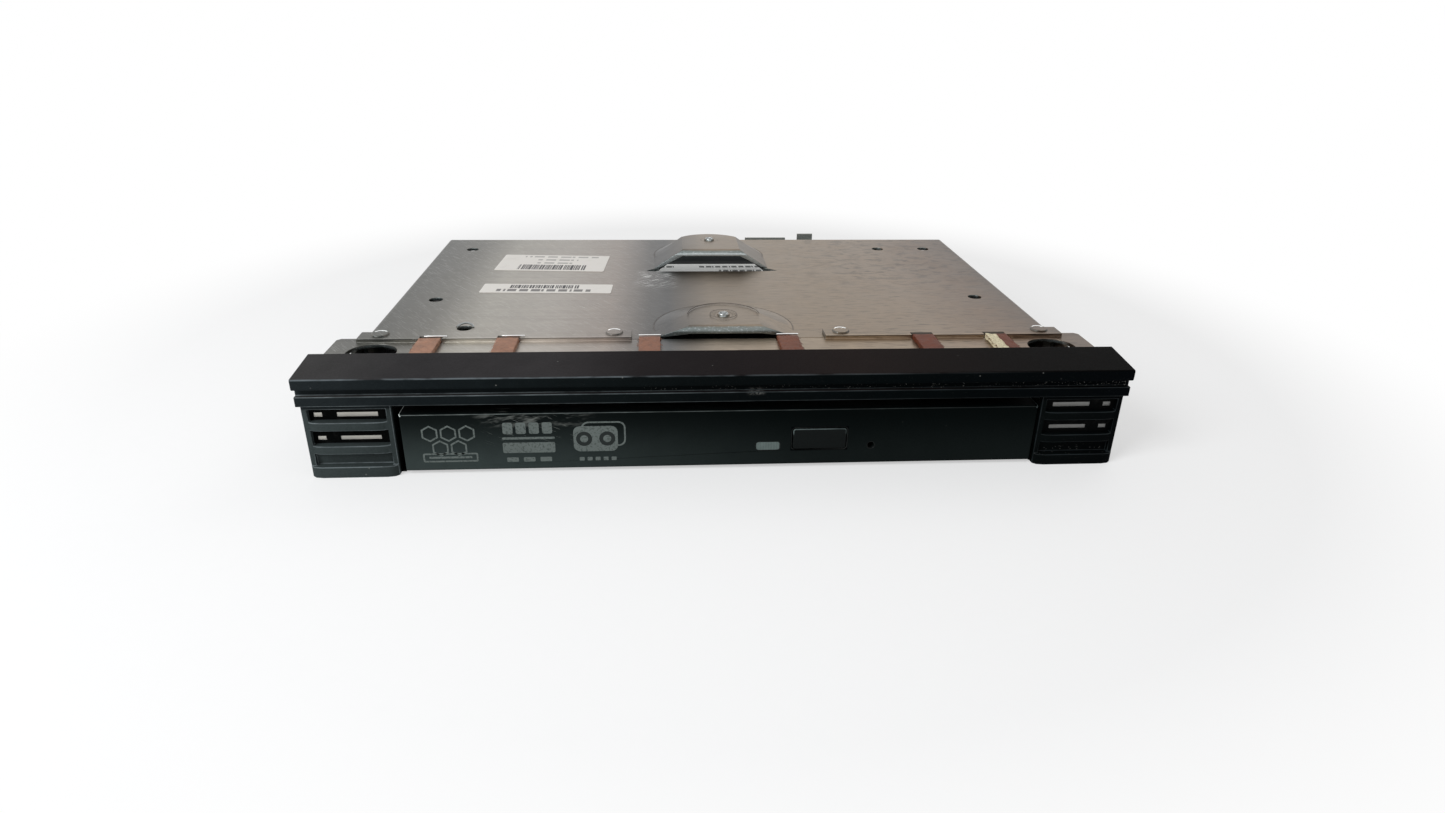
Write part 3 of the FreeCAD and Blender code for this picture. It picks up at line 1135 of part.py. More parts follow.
def tray():
    """The moulded tray: floor with two round recesses, corners, skirt, tongues and posts."""
    piece = Piece("tray", DRIVE)
    start = S.face_deep
    plan = box(-S.tray_half, start, S.tray_half, S.tray_back)
    piece.pad("XY", floor_under, S.tray_rim, plan)
    piece.cut("XY", S.tray_floor, S.tray_rim, Disc(0.0, S.hub_back, S.disc_radius))
    piece.cut("XY", S.tray_floor - S.small_disc_deep, S.tray_floor,
              Disc(0.0, S.hub_back, S.small_disc_radius))
    piece.pad("XY", S.tray_low, floor_under, plan,
              box(-S.tray_half + S.tray_wall, start + S.tray_wall, S.tray_half - S.tray_wall,
                  S.tray_back - S.tray_wall))
    for side, low, high in sides(S.tray_half, tongue_half):
        piece.pad("XZ", S.guide_front, S.tray_back, box(low, S.tongue_low, high, S.tongue_high))
    for along, across in grommet_places():
        piece.pad("XY", grommet_low, floor_under, Disc(along, across, S.grommet_bore),
                  about=ON_TRAVERSE)
        piece.cut("XY", grommet_low, grommet_low + S.grommet_screw_long,
                  Disc(along, across, S.grommet_core), about=ON_TRAVERSE)
    for across, back in ((-S.board_post_left, S.board_post_back),
                         (-S.main_waist - S.board_post_edge, S.main_back - S.board_post_edge * 2),
                         (S.board_post_front, S.main_front + S.board_post_edge)):
        piece.pad("XY", main_high, floor_under, Disc(across, back, S.board_post_radius))
    piece.pad("XY", S.tray_low, floor_under, Disc(S.latch_across, S.latch_front, S.pivot_radius))
    for across, back in tray_posts():
        piece.pad("XY", belly_top, floor_under, Disc(across, back, S.post_tray_radius))
        piece.cut("XY", belly_top, S.belly_low + S.tray_screw_long,
                  Disc(across, back, S.tray_screw_core))
    piece.cut("XY", floor_under, S.tray_floor, Disc(0.0, S.hub_back, S.table_radius + S.bell_gap * 2))
    piece.cut("XY", floor_under, S.tray_floor,
              box(S.table_radius - S.bend, -S.slot_half - S.slide_gap,
                  S.well_far + S.slide_gap * 2, S.slot_half + S.slide_gap), about=ON_TRAVERSE)
    wall_back_in = S.tray_back - S.tray_wall
    slot = S.post_radius + S.bend * 1.5
    piece.cut("XZ", wall_back_in, S.tray_back,
              box(S.post_across - slot, S.tray_low, S.post_across + slot, floor_under))
    stem_in = stem_left - S.slide_gap * 1.5
    piece.cut("XZ", start, start + S.tray_wall,
              box(stem_in, S.stem_low - S.slide_gap * 1.5,
                  stem_left + S.stem_wide + S.slide_gap * 1.5, S.stem_high + S.slide_gap * 1.5))
    piece.cut("XZ", start, start + S.tray_wall,
              Disc(S.pin_hole_across, S.pin_hole_high, S.pin_hole_radius))
    belly = Piece("tray_under_cover", DRIVE)
    inset = S.tray_wall
    belly.pad("XY", S.belly_low, belly_top,
              box(-S.tray_half + inset, start + inset, S.tray_half - inset, S.tray_back - inset))
    belly.cut("XY", S.belly_low, belly_top,
              box(S.post_across - slot, S.post_back - slot, S.post_across + slot, S.tray_back))
    belly.cut("XY", S.belly_low, belly_top,
              box(-S.ribbon_left - S.slide_gap, S.ribbon_rise - S.slide_gap,
                  -S.ribbon_left + S.ribbon_wide + S.slide_gap, S.ribbon_rise + S.slide_gap * 3))
    screws = Piece("tray_screws", DRIVE)
    for across, back in tray_posts():
        belly.cut("XY", S.belly_low, belly_top, Disc(across, back, S.tray_screw_core))
        screws.pad("XY", S.belly_low, S.belly_low + S.tray_screw_long,
                   Disc(across, back, S.tray_screw_core))
        screws.pad("XY", S.belly_low - S.belly_thick, S.belly_low,
                   Disc(across, back, S.tray_screw_head))


def tray_posts():
    """The four places where the cover under the tray is screwed on."""
    return [(side * S.post_across_tray, back) for side in (-1, 1)
            for back in (S.post_near, S.post_far)]


def grommet_places():
    """The three grommets, along and across the direction of the sled's travel."""
    return ((-S.grommet_tail, -S.grommet_left), (-S.grommet_tail, S.grommet_right),
            (S.lug_along, -S.lug_across))


def front_panel():
    """The tray's front panel with its button, lamp window and emergency hole, and the switch."""
    panel = Piece("tray_bezel", DRIVE)
    low, high = S.face_gap, S.drive_high - S.face_gap
    panel.pad("XZ", 0.0, S.face_deep, box(-S.drive_half, low, S.drive_half, high))
    panel.fillet(S.face_round, lambda a, b: both(a, b, "y", 0.0))
    wall = S.face_deep / 3
    for left, right in ((-S.drive_half + wall, -wall), (S.pin_hole_across + wall, S.drive_half - wall)):
        panel.cut("XZ", wall, S.face_deep, box(left, low + wall, right, high - wall))
    gap = S.button_gap
    panel.cut("XZ", 0.0, S.face_deep,
              Pill(S.button_left - gap, S.button_low - gap, S.button_right + gap,
                   S.button_high + gap, S.button_round + gap))
    panel.cut("XZ", 0.0, S.face_deep,
              Pill(S.lamp_left, S.lamp_low, S.lamp_right, S.lamp_high, S.button_round))
    panel.cut("XZ", 0.0, S.face_deep, Disc(S.pin_hole_across, S.pin_hole_high, S.pin_hole_radius))
    button = Piece("eject_button", DRIVE)
    button.pad("XZ", -S.button_proud, S.button_deep,
               Pill(S.button_left, S.button_low, S.button_right, S.button_high, S.button_round))
    button.pad("XZ", S.button_deep, switch_front - S.stem_gap - S.button_travel,
               box(stem_left, S.stem_low, stem_left + S.stem_wide, S.stem_high))
    lamp = Piece("led_window", DRIVE)
    lamp.pad("XZ", 0.0, S.face_deep,
             Pill(S.lamp_left, S.lamp_low, S.lamp_right, S.lamp_high, S.button_round))
    switch = Piece("eject_switch", DRIVE)
    switch.pad("XY", main_high, S.switch_high,
               box(S.switch_left, switch_front, S.switch_left + S.switch_wide,
                   switch_front + S.switch_deep))


def tray_board():
    """The board under the tray's floor, with its chips."""
    board = Piece("tray_board", DRIVE)
    board.pad("XY", main_low, main_high,
              Ring((-S.main_left, S.main_front), (S.main_tip, S.main_front),
                   (S.main_tip, S.main_tip_back), (S.main_tip - S.main_tip_back, S.main_tip_back),
                   (-S.main_waist, S.main_bend), (-S.main_waist, S.main_back),
                   (-S.main_left, S.main_back)))
    middle = -(S.main_left + S.main_waist) / 2
    for back, wide, deep in ((S.main_bend, S.chip_wide, S.chip_deep),
                             (S.main_bend + S.chip_step, S.chip_small, S.chip_small),
                             (S.main_front + S.chip_small, S.chip_small, S.chip_small)):
        board.pad("XY", main_high, main_high + S.chip_high,
                  box(middle - wide / 2, back, middle + wide / 2, back + deep))


def traverse():
    """The frame that carries the turntable's motor and the sled's rods, in its rubber grommets."""
    deck = Piece("traverse_frame", TRAVERSE)
    deck.pad("XY", S.deck_low, S.deck_high,
             Ring((-S.deck_tail, -S.deck_half), (S.deck_nose, -S.deck_half),
                  (S.deck_nose, S.deck_half), (S.deck_screw_nose, S.deck_nose_side),
                  (S.well_near, S.deck_screw_side), (-S.deck_tail, S.deck_screw_side)))
    deck.pad("XY", S.deck_low, S.deck_high, Disc(S.lug_along, -S.lug_across, S.lug_radius))
    deck.cut("XY", S.deck_low, S.deck_high,
             box(S.well_near, -S.well_half, S.well_far, S.well_half))
    deck.cut("XY", stator_low, S.deck_high, Disc(0.0, 0.0, S.bell_radius + S.bell_gap))
    deck.cut("XY", S.deck_low, stator_low, Disc(0.0, 0.0, S.bell_radius - S.bell_gap))
    deck.cut("XY", S.deck_low, S.deck_high,
             box(S.screw_near - S.motor_long, S.screw_across - S.pocket_half,
                 S.screw_near, S.screw_across + S.pocket_half))
    deck.cut("XY", S.deck_low, S.deck_high,
             box(S.screw_near - S.motor_long / 2, S.screw_across - S.channel_half,
                 S.channel_far, S.screw_across + S.channel_half))
    deck.cut("XY", S.arm_low - S.slide_gap, S.deck_high,
             box(S.well_near, S.well_half - S.slide_gap, S.channel_far,
                 S.screw_across - S.channel_half + S.slide_gap))
    for side in (-1, 1):
        deck.cut("YZ", rod_near, rod_far, Disc(side * S.rod_across, S.rod_high, S.rod_radius))
    deck.cut("YZ", S.channel_far, S.screw_far + S.slide_gap / 2,
             Disc(S.screw_across, S.screw_high, S.screw_radius + S.rod_fit))
    grommets = Piece("traverse_grommets", TRAVERSE)
    screws = Piece("traverse_screws", TRAVERSE)
    for along, across in grommet_places():
        deck.cut("XY", S.deck_low, S.deck_high, Disc(along, across, S.grommet_radius))
        grommets.pad("XY", grommet_low, S.deck_high, Disc(along, across, S.grommet_radius),
                     Disc(along, across, S.grommet_bore))
        screws.pad("XY", S.deck_low, grommet_low, Disc(along, across, S.grommet_head))
        screws.pad("XY", grommet_low, grommet_low + S.grommet_screw_long,
                   Disc(along, across, S.grommet_core))
    cover = Piece("traverse_cover", TRAVERSE)
    under = S.deck_high + S.deck_cover_gap
    edge = S.deck_half - S.slide_gap * 2
    cover.pad("XY", under, under + S.deck_cover_thick,
              box(S.well_near / 2, -edge, S.deck_nose - S.slide_gap * 2, edge))
    cover.cut("XY", under, under + S.deck_cover_thick,
              Disc(0.0, 0.0, S.bell_radius + S.bell_gap))
    cover.cut("XY", under, under + S.deck_cover_thick,
              box(S.well_near - S.bell_gap, -S.slot_half, S.well_far + S.slide_gap * 2, S.slot_half))
    for name, side in (("guide_rod_left", -1), ("guide_rod_right", 1)):
        rod = Piece(name, TRAVERSE)
        rod.pad("YZ", rod_near, rod_far, Disc(side * S.rod_across, S.rod_high, S.rod_radius))
    motor = Piece("sled_motor", TRAVERSE)
    motor.pad("YZ", S.screw_near - S.motor_long, S.screw_near,
              Disc(S.screw_across, S.screw_high, S.motor_radius))
    screw = Piece("lead_screw", TRAVERSE)
    screw.pad("YZ", S.screw_near + S.slide_gap, S.screw_far,
              Disc(S.screw_across, S.screw_high, S.screw_radius))


def sled():
    """The optical sled on its rods, the lens carrier that floats in it, and the lens."""
    piece = Piece("pickup_sled", TRAVERSE)
    near_end, far_end = S.sled_home - S.sled_half_long, S.sled_home + S.sled_half_long
    piece.pad("XY", S.sled_low, S.sled_high,
              box(near_end, -S.sled_half_wide, far_end, S.sled_half_wide))
    hump = S.slot_half - S.slide_gap * 3
    piece.pad("XY", S.sled_high, S.sled_hump, box(near_end, -hump, far_end, hump))
    piece.cut("XY", S.lens_pit, S.sled_hump,
              box(S.sled_home - S.lens_half_long - S.bend, -S.lens_half_wide - S.bend,
                  S.sled_home + S.lens_half_long + S.bend, S.lens_half_wide + S.bend))
    for side in (-1, 1):
        piece.cut("YZ", near_end, far_end,
                  Disc(side * S.rod_across, S.rod_high, S.rod_radius + S.rod_fit))
    arm_end = S.screw_across - S.screw_radius - S.slide_gap
    piece.pad("XY", S.arm_low, S.arm_high,
              box(S.sled_home - S.arm_long / 2, S.sled_half_wide,
                  S.sled_home + S.arm_long / 2, arm_end))
    holder = Piece("lens_holder", TRAVERSE)
    holder.pad("XY", S.lens_low, S.lens_high,
               box(S.sled_home - S.lens_half_long, -S.lens_half_wide,
                   S.sled_home + S.lens_half_long, S.lens_half_wide))
    seat = (S.lens_low + S.lens_high) / 2
    holder.cut("XY", seat, S.lens_high, Disc(S.sled_home, 0.0, S.lens_radius))
    lens = Piece("objective_lens", TRAVERSE)
    lens.pad("XY", seat, S.lens_top, Disc(S.sled_home, 0.0, S.lens_radius))
    lens.fillet(S.lens_top - S.lens_high - S.face_gap, lambda a, b: both(a, b, "z", S.lens_top))


def turntable():
    """The flat motor and the table that it turns, with its rubber ring and three claws."""
    stator = Piece("spindle_stator", TRAVERSE)
    plate_top = S.deck_low + S.gauge
    rim = S.bell_radius + S.bell_gap - S.slide_gap
    bore = S.shaft_radius + S.rod_fit
    bush_top = S.bell_high - S.bell_wall - S.bell_gap / 2
    core_out = S.bell_radius - S.bell_wall - S.bell_gap
    core_top = bush_top - S.bell_gap / 2
    stator.turn(Ring((0.0, stator_low), (rim, stator_low), (rim, plate_top),
                     (core_out, plate_top), (core_out, core_top), (core_out / 2, core_top),
                     (core_out / 2, plate_top), (S.bush_radius, plate_top),
                     (S.bush_radius, bush_top), (bore, bush_top),
                     (bore, plate_top), (0.0, plate_top)))
    rotor = Piece("spindle_rotor", TRAVERSE)
    ceiling = S.bell_high - S.bell_wall
    rotor.turn(Ring((0.0, plate_top + S.rod_fit), (S.shaft_radius, plate_top + S.rod_fit),
                    (S.shaft_radius, ceiling), (S.bell_radius - S.bell_wall, ceiling),
                    (S.bell_radius - S.bell_wall, S.bell_low), (S.bell_radius, S.bell_low),
                    (S.bell_radius, S.bell_high), (0.0, S.bell_high)))
    table = Piece("turntable", TRAVERSE)
    slope = S.bell_gap
    table.turn(Ring((0.0, S.bell_high), (S.table_radius - slope * 2, S.bell_high),
                    (S.table_radius, S.bell_high + slope), (S.table_radius, S.table_high),
                    (S.boss_radius, S.table_high), (S.boss_radius, S.boss_high - slope),
                    (S.boss_radius - slope, S.boss_high), (S.boss_radius / 3, S.boss_high),
                    (S.boss_radius / 3, S.table_high), (0.0, S.table_high)))
    pad = Piece("turntable_pad", TRAVERSE)
    pad.pad("XY", S.table_high, S.table_high + S.pad_thick,
            Disc(0.0, 0.0, S.table_radius - slope), Disc(0.0, 0.0, S.pad_inner))
    claws = Piece("hub_claws", TRAVERSE)
    claw_low = S.table_high + S.pad_thick
    claw_high = S.boss_high - slope * 2
    count = round(S.claw_count.value)
    for step in range(count):
        about = (0.0, 0.0, 360.0 * step / count)
        table.cut("XY", claw_low - S.face_gap, claw_high + S.face_gap,
                  box(S.boss_radius - S.claw_wide, -S.claw_wide / 2, S.boss_radius + S.bend,
                      S.claw_wide / 2), about=about)
        claws.pad("XY", claw_low, claw_high,
                  box(S.boss_radius - S.claw_wide, -S.claw_wide / 2 + S.face_gap,
                      S.boss_radius + S.claw_out, S.claw_wide / 2 - S.face_gap), about=about)


def latch():
    """The lever that locks the shut tray to a post in the base, its solenoid and the spring."""
    post = Piece("latch_post", DRIVE)
    post.pad("XY", S.tin, S.post_high, Disc(S.post_across, S.post_back, S.post_radius))
    lever = Piece("eject_latch", LATCH)
    half = S.latch_wide / 2
    hook = S.post_back + S.post_radius + S.latch_gap - S.latch_front
    lever.pad("XY", S.latch_low, S.latch_low + S.latch_thick,
              Ring((-half, -S.latch_tail), (half, -S.latch_tail), (half, hook),
                   (half + S.finger_long, hook), (half + S.finger_long - S.face_gap * 4,
                                                  hook + S.finger_wide),
                   (-half, hook + S.finger_wide)))
    lever.pad("XY", S.latch_low, S.latch_low + S.latch_thick, Disc(0.0, 0.0, S.latch_eye))
    lever.cut("XY", S.latch_low, S.latch_low + S.latch_thick,
              Disc(0.0, 0.0, S.pivot_radius + S.rod_fit))
    magnet = Piece("latch_solenoid", DRIVE)
    magnet.pad("XY", belly_top + S.slide_gap, S.magnet_high,
               box(S.magnet_left, S.magnet_front, S.magnet_left + S.magnet_wide,
                   S.magnet_front + S.magnet_deep))
    spring = Piece("eject_spring", DRIVE)
    thick = S.spring_thick
    wall = S.drive_deep - S.tin
    left, right = -S.spring_left, -S.spring_left + S.spring_long
    peak = S.tray_back + S.slide_gap
    middle = (left + right) / 2
    third = S.spring_long / 6
    spring.pad("XY", S.spring_low, S.spring_high,
               Ring((left, wall), (left, wall - thick), (left + third, wall - thick),
                    (middle - third, peak), (middle + third, peak), (right - third, wall - thick),
                    (right, wall - thick), (right, wall), (right - third - thick, wall),
                    (middle + third - thick, peak + thick), (middle - third + thick, peak + thick),
                    (left + third + thick, wall)))


def check_and_write():
    """Recompute the document, stop on any failed feature and write each piece's shape."""
    DOC.recompute()
    failed = [thing.Name for thing in DOC.Objects
              if "Invalid" in thing.State or "Error" in thing.State]
    if failed:
        raise RuntimeError(f"failed features: {failed}")
    for thing in DOC.Objects:
        if thing.TypeId in ("PartDesign::Pocket", "PartDesign::SubtractiveLoft"):
            if thing.Shape.Volume >= thing.BaseFeature.Shape.Volume:
                raise RuntimeError(f"{thing.Name} of {thing.getParentGroup()} cuts nothing")
    os.makedirs("parts", exist_ok=True)
    for body in PIECES:
        if body.Shape.isNull() or not body.Shape.isValid():
            raise RuntimeError(f"{body.Label} has no valid shape")
        body.Shape.exportStep(f"parts/{body.Label}.step")
    print(f"{len(PIECES)} pieces written")


front_bezel()
front_flange()
carrier_plate()
side_brackets()
bracket_rivets()
gaskets()
labels()
rear_adapter()
drive_case()
rear_board()
slides()
tray()
front_panel()
tray_board()
traverse()
sled()
turntable()
latch()
check_and_write()
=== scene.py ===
"""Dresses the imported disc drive: finishes, fine detail, floor, lights and camera.

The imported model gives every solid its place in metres. This script gives each of them a
finish, adds the small things that the solids leave out, and never moves a solid.
"""
import logging
import math
import random
from dataclasses import dataclass
from enum import Enum
from functools import cache
from typing import Iterable, Sequence

import bmesh
import bpy
from mathutils import Matrix, Vector, noise


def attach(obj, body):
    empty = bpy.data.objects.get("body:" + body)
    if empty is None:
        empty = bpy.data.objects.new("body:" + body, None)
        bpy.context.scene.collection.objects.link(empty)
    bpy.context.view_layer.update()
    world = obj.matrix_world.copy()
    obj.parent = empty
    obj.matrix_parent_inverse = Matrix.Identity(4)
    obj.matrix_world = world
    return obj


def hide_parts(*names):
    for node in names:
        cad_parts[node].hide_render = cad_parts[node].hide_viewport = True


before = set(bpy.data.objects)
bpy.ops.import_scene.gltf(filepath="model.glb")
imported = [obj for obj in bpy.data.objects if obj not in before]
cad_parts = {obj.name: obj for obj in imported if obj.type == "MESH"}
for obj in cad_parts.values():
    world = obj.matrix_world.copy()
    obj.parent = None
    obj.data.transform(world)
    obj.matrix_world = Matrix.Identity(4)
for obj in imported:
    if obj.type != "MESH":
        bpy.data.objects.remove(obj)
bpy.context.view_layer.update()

MM = 0.001
log = logging.getLogger("disc_drive")

Point = tuple[float, float, float]
Colour = tuple[float, float, float]


def tone(red: float, green: float, blue: float) -> Colour:
    """A linear colour from the 0 to 255 values of a picture."""
    return tuple(((part / 255.0 + 0.055) / 1.055) ** 2.4 if part > 10.3 else part / 3294.6
                 for part in (red, green, blue))


class Field:
    """One socket of a material, with arithmetic that adds Math nodes."""

    def __init__(self, paint: "Tree", socket: bpy.types.NodeSocket) -> None:
        """Keeps the socket and the tree it belongs to."""
        self.paint = paint
        self.socket = socket

    def maths(self, operation: str, *others: "Field | float") -> "Field":
        """Adds one Math node.

        Args:
            operation: the Math node's operation.
            others: the values or fields after this one.

        Returns:
            The node's result.
        """
        values = dict(enumerate((self, *others)))
        return self.paint.node("ShaderNodeMath", {"operation": operation}, values)

    def __add__(self, other: "Field | float") -> "Field":
        """This plus the other."""
        return self.maths("ADD", other)

    def __sub__(self, other: "Field | float") -> "Field":
        """This less the other."""
        return self.maths("SUBTRACT", other)

    def __rsub__(self, other: float) -> "Field":
        """The other less this."""
        return self.maths("MULTIPLY_ADD", -1.0, other)

    def __mul__(self, other: "Field | float") -> "Field":
        """This times the other."""
        return self.maths("MULTIPLY", other)

    def __truediv__(self, other: "Field | float") -> "Field":
        """This over the other."""
        return self.maths("DIVIDE", other)

    def __neg__(self) -> "Field":
        """The negative of this."""
        return self.maths("MULTIPLY", -1.0)

    def __abs__(self) -> "Field":
        """The size of this without its sign."""
        return self.maths("ABSOLUTE")

    def __mod__(self, other: float) -> "Field":
        """What is left of this after whole steps."""
        return self.maths("FLOORED_MODULO", other)

    __radd__ = __add__
    __rmul__ = __mul__

    def most(self, other: "Field | float") -> "Field":
        """The larger of the two."""
        return self.maths("MAXIMUM", other)

    def least(self, other: "Field | float") -> "Field":
        """The smaller of the two."""
        return self.maths("MINIMUM", other)

    def ramp(self, start: float, end: float) -> "Field":
        """Rises smoothly from 0 at the start to 1 at the end, which may be lower.

        Args:
            start: the value that gives 0.
            end: the value that gives 1.

        Returns:
            The smooth step.
        """
        low, high = min(start, end), max(start, end)
        first, last = (0.0, 1.0) if end > start else (1.0, 0.0)
        settings = {"interpolation_type": "SMOOTHSTEP"}
        return self.paint.node("ShaderNodeMapRange", settings,
                               {0: self, 1: low, 2: high, 3: first, 4: last})

    def band(self, low: float, high: float, soft: float) -> "Field":
        """One between two values, zero outside them.

        Args:
            low: where the band starts.
            high: where the band ends.
            soft: the width of its soft edges.

        Returns:
            The mask.
        """
        return self.ramp(low - soft, low + soft) * self.ramp(high + soft, high - soft)


class Tree:
    """A node tree and the two ways that this script adds to it."""

    def __init__(self, owner: bpy.types.Material | bpy.types.World) -> None:
        """Empties the tree of a material or a world.

        Args:
            owner: the material or world.
        """
        owner.use_nodes = True
        self.tree = owner.node_tree
        self.tree.nodes.clear()

    def node(self, kind: str, settings: dict[str, object],
             values: dict[int | str, object], output: int | str = 0) -> Field:
        """Adds any node, its settings first and then its sockets.

        Args:
            kind: the node's type.
            settings: its properties, and for a colour ramp its stops.
            values: the number, colour or field for each socket.
            output: which output to use.

        Returns:
            That output.
        """
        made = self.tree.nodes.new(kind)
        for name, value in settings.items():
            if name != "stops":
                setattr(made, name, value)
                continue
            stops = made.color_ramp.elements
            while len(stops) < len(value):
                stops.new(1.0)
            for stop, (position, colour) in zip(stops, value):
                stop.position = position
                stop.color = (*colour, 1.0)
        for key, value in values.items():
            self.feed(made.inputs[key], value)
        return Field(self, made.outputs[output])

    def feed(self, socket: bpy.types.NodeSocket, value: object) -> None:
        """Links or sets one socket.

        Args:
            socket: the socket to fill.
            value: a field, a number, a colour or a vector.
        """
        if isinstance(value, Field):
            self.tree.links.new(value.socket, socket)
        elif socket.type == "RGBA":
            socket.default_value = (*value, 1.0)
        else:
            socket.default_value = value


class Paint(Tree):
    """A material with one Principled shader, built from fields."""

    def __init__(self, name: str) -> None:
        """Makes an empty material.

        Args:
            name: the material's name.
        """
        self.material = bpy.data.materials.new(name)
        super().__init__(self.material)
        self.output = self.tree.nodes.new("ShaderNodeOutputMaterial")
        self.shader = self.tree.nodes.new("ShaderNodeBsdfPrincipled")
        self.tree.links.new(self.shader.outputs[0], self.output.inputs[0])

    def place(self) -> Field:
        """The point's place in the model, in millimetres."""
        spot = self.node("ShaderNodeTexCoord", {}, {}, "Object")
        return self.node("ShaderNodeVectorMath", {"operation": "SCALE"}, {0: spot, "Scale": 1000.0})

    def axes(self, place: Field, middle: Point = (0.0, 0.0, 0.0),
             turn: float = 0.0) -> tuple[Field, Field, Field]:
        """Splits a place into X, Y and Z about a middle point, turned about Z.

        Args:
            place: the place to split.
            middle: the point that becomes zero, in millimetres.
            turn: the turn about Z in degrees.

        Returns:
            The three coordinates.
        """
        moved = self.node("ShaderNodeMapping", {"vector_type": "TEXTURE"},
                          {"Vector": place, "Location": middle,
                           "Rotation": (0.0, 0.0, math.radians(turn))})
        split = self.tree.nodes.new("ShaderNodeSeparateXYZ")
        self.tree.links.new(moved.socket, split.inputs[0])
        return tuple(Field(self, output) for output in split.outputs)

    def facing(self) -> tuple[Field, Field, Field]:
        """The way that the surface faces.

        Returns:
            Its X, Y and Z.
        """
        split = self.tree.nodes.new("ShaderNodeSeparateXYZ")
        self.feed(split.inputs[0], self.node("ShaderNodeTexCoord", {}, {}, "Normal"))
        return tuple(Field(self, output) for output in split.outputs)

    def fit(self, place: Field, size: float, stretch: Point, turn: Point,
            shift: float) -> Field:
        """Scales a place so that one unit of it is the given size.

        Args:
            place: the place, in millimetres.
            size: the size of a unit.
            stretch: how much longer a unit is along each axis.
            turn: the turn about each axis, in degrees.
            shift: moves the place, so that two patterns differ.

        Returns:
            The scaled place.
        """
        return self.node("ShaderNodeMapping", {"vector_type": "TEXTURE"},
                         {"Vector": place, "Location": (shift, shift, shift),
                          "Rotation": tuple(math.radians(angle) for angle in turn),
                          "Scale": tuple(size * part for part in stretch)})

    def noise(self, place: Field, size: float, detail: float = 2.0, rough: float = 0.5,
              stretch: Point = (1.0, 1.0, 1.0), turn: Point = (0.0, 0.0, 0.0),
              shift: float = 0.0) -> Field:
        """Smooth noise whose patches have about the given size.

        Args:
            place: where, in millimetres.
            size: the size of its patches in millimetres.
            detail: how many finer layers it has.
            rough: how strong those layers are.
            stretch: how much longer the patches are along each axis.
            turn: the turn of the patches about each axis, in degrees.
            shift: moves the pattern.

        Returns:
            A value about one half.
        """
        fitted = self.fit(place, size, stretch, turn, shift)
        return self.node("ShaderNodeTexNoise", {},
                         {"Vector": fitted, "Scale": 1.0, "Detail": detail, "Roughness": rough})

    def cells(self, place: Field, size: float, stretch: Point = (1.0, 1.0, 1.0),
              feature: str = "F1", output: str = "Distance") -> Field:
        """Cell pattern whose cells have about the given size.

        Args:
            place: where, in millimetres.
            size: the size of a cell in millimetres.
            stretch: how much longer the cells are along each axis.
            feature: the pattern's kind.
            output: which output to use.

        Returns:
            The pattern.
        """
        fitted = self.fit(place, size, stretch, (0.0, 0.0, 0.0), 0.0)
        return self.node("ShaderNodeTexVoronoi", {"feature": feature},
                         {"Vector": fitted, "Scale": 1.0}, output)

    def scratches(self, place: Field, size: float, long: float, turn: Point,
                  share: float) -> Field:
        """Fine scratches that all run one way.

        Args:
            place: where, in millimetres.
            size: their width.
            long: how many times longer than wide they are.
            turn: their turn about each axis, in degrees.
            share: about how much of the surface stays clear, from 0.5 to 0.8.

        Returns:
            The mask of the scratches.
        """
        lines = self.noise(place, size, 1.0, 0.5, (long, 1.0, 1.0), turn, size * 977.0)
        return lines.ramp(share, share + 0.05)

    def specks(self, place: Field, size: float, share: float) -> Field:
        """Scattered round specks.

        Args:
            place: where, in millimetres.
            size: the pitch of the specks.
            share: the share of the pitches that holds one, from 0 to 1.

        Returns:
            The mask of the specks.
        """
        near = self.cells(place, size).ramp(0.24, 0.12)
        return near * self.cells(place, size, output="Color").ramp(1.0 - share, 1.02 - share)

    def tones(self, share: Field, stops: Sequence[tuple[float, Colour]]) -> Field:
        """A colour that changes along stops."""
        settings = {"stops": tuple((place, tone(*colour)) for place, colour in stops)}
        return self.node("ShaderNodeValToRGB", settings, {0: share})

    def mix(self, share: "Field | float", first: "Field | Colour",
            second: "Field | Colour") -> Field:
        """Mixes two colours.

        Args:
            share: how much of the second.
            first: the colour at 0.
            second: the colour at 1.

        Returns:
            The mixed colour.
        """
        return self.node("ShaderNodeMix", {"data_type": "RGBA"},
                         {0: share, 6: first, 7: second}, 2)

    def wash(self, first: "Field | Colour", second: "Field | Colour") -> Field:
        """Multiplies two colours.

        Args:
            first: the colour below.
            second: the colour laid over it.

        Returns:
            Their product.
        """
        settings = {"data_type": "RGBA", "blend_type": "MULTIPLY"}
        return self.node("ShaderNodeMix", settings, {0: 1.0, 6: first, 7: second}, 2)

    def grey(self, value: Field) -> Field:
        """A colour whose three parts are all the value."""
        return self.node("ShaderNodeCombineColor", {}, {0: value, 1: value, 2: value})

    def finish(self, colour: object, rough: object, metal: object = 0.0,
               relief: Field | None = None, height: float = 0.05,
               **constants: float) -> bpy.types.Material:
        """Feeds the shader.

        Args:
            colour: the base colour.
            rough: the roughness.
            metal: the metallic share.
            relief: the height field for the bump.
            height: the bump's height in millimetres.
            constants: other sockets of the shader, set and not linked.

        Returns:
            The finished material.
        """
        self.feed(self.shader.inputs["Base Color"], colour)
        self.feed(self.shader.inputs["Roughness"], rough)
        self.feed(self.shader.inputs["Metallic"], metal)
        if relief is not None:
            bump = self.node("ShaderNodeBump", {},
                             {"Height": relief, "Distance": height * MM, "Strength": 1.0})
            self.feed(self.shader.inputs["Normal"], bump)
        for name, value in constants.items():
            self.feed(self.shader.inputs[name.replace("_", " ")], value)
        return self.material


FRONT = -67.93
PLATE_WIDE = 152.0
SCOOP_MIDDLE = 1.6


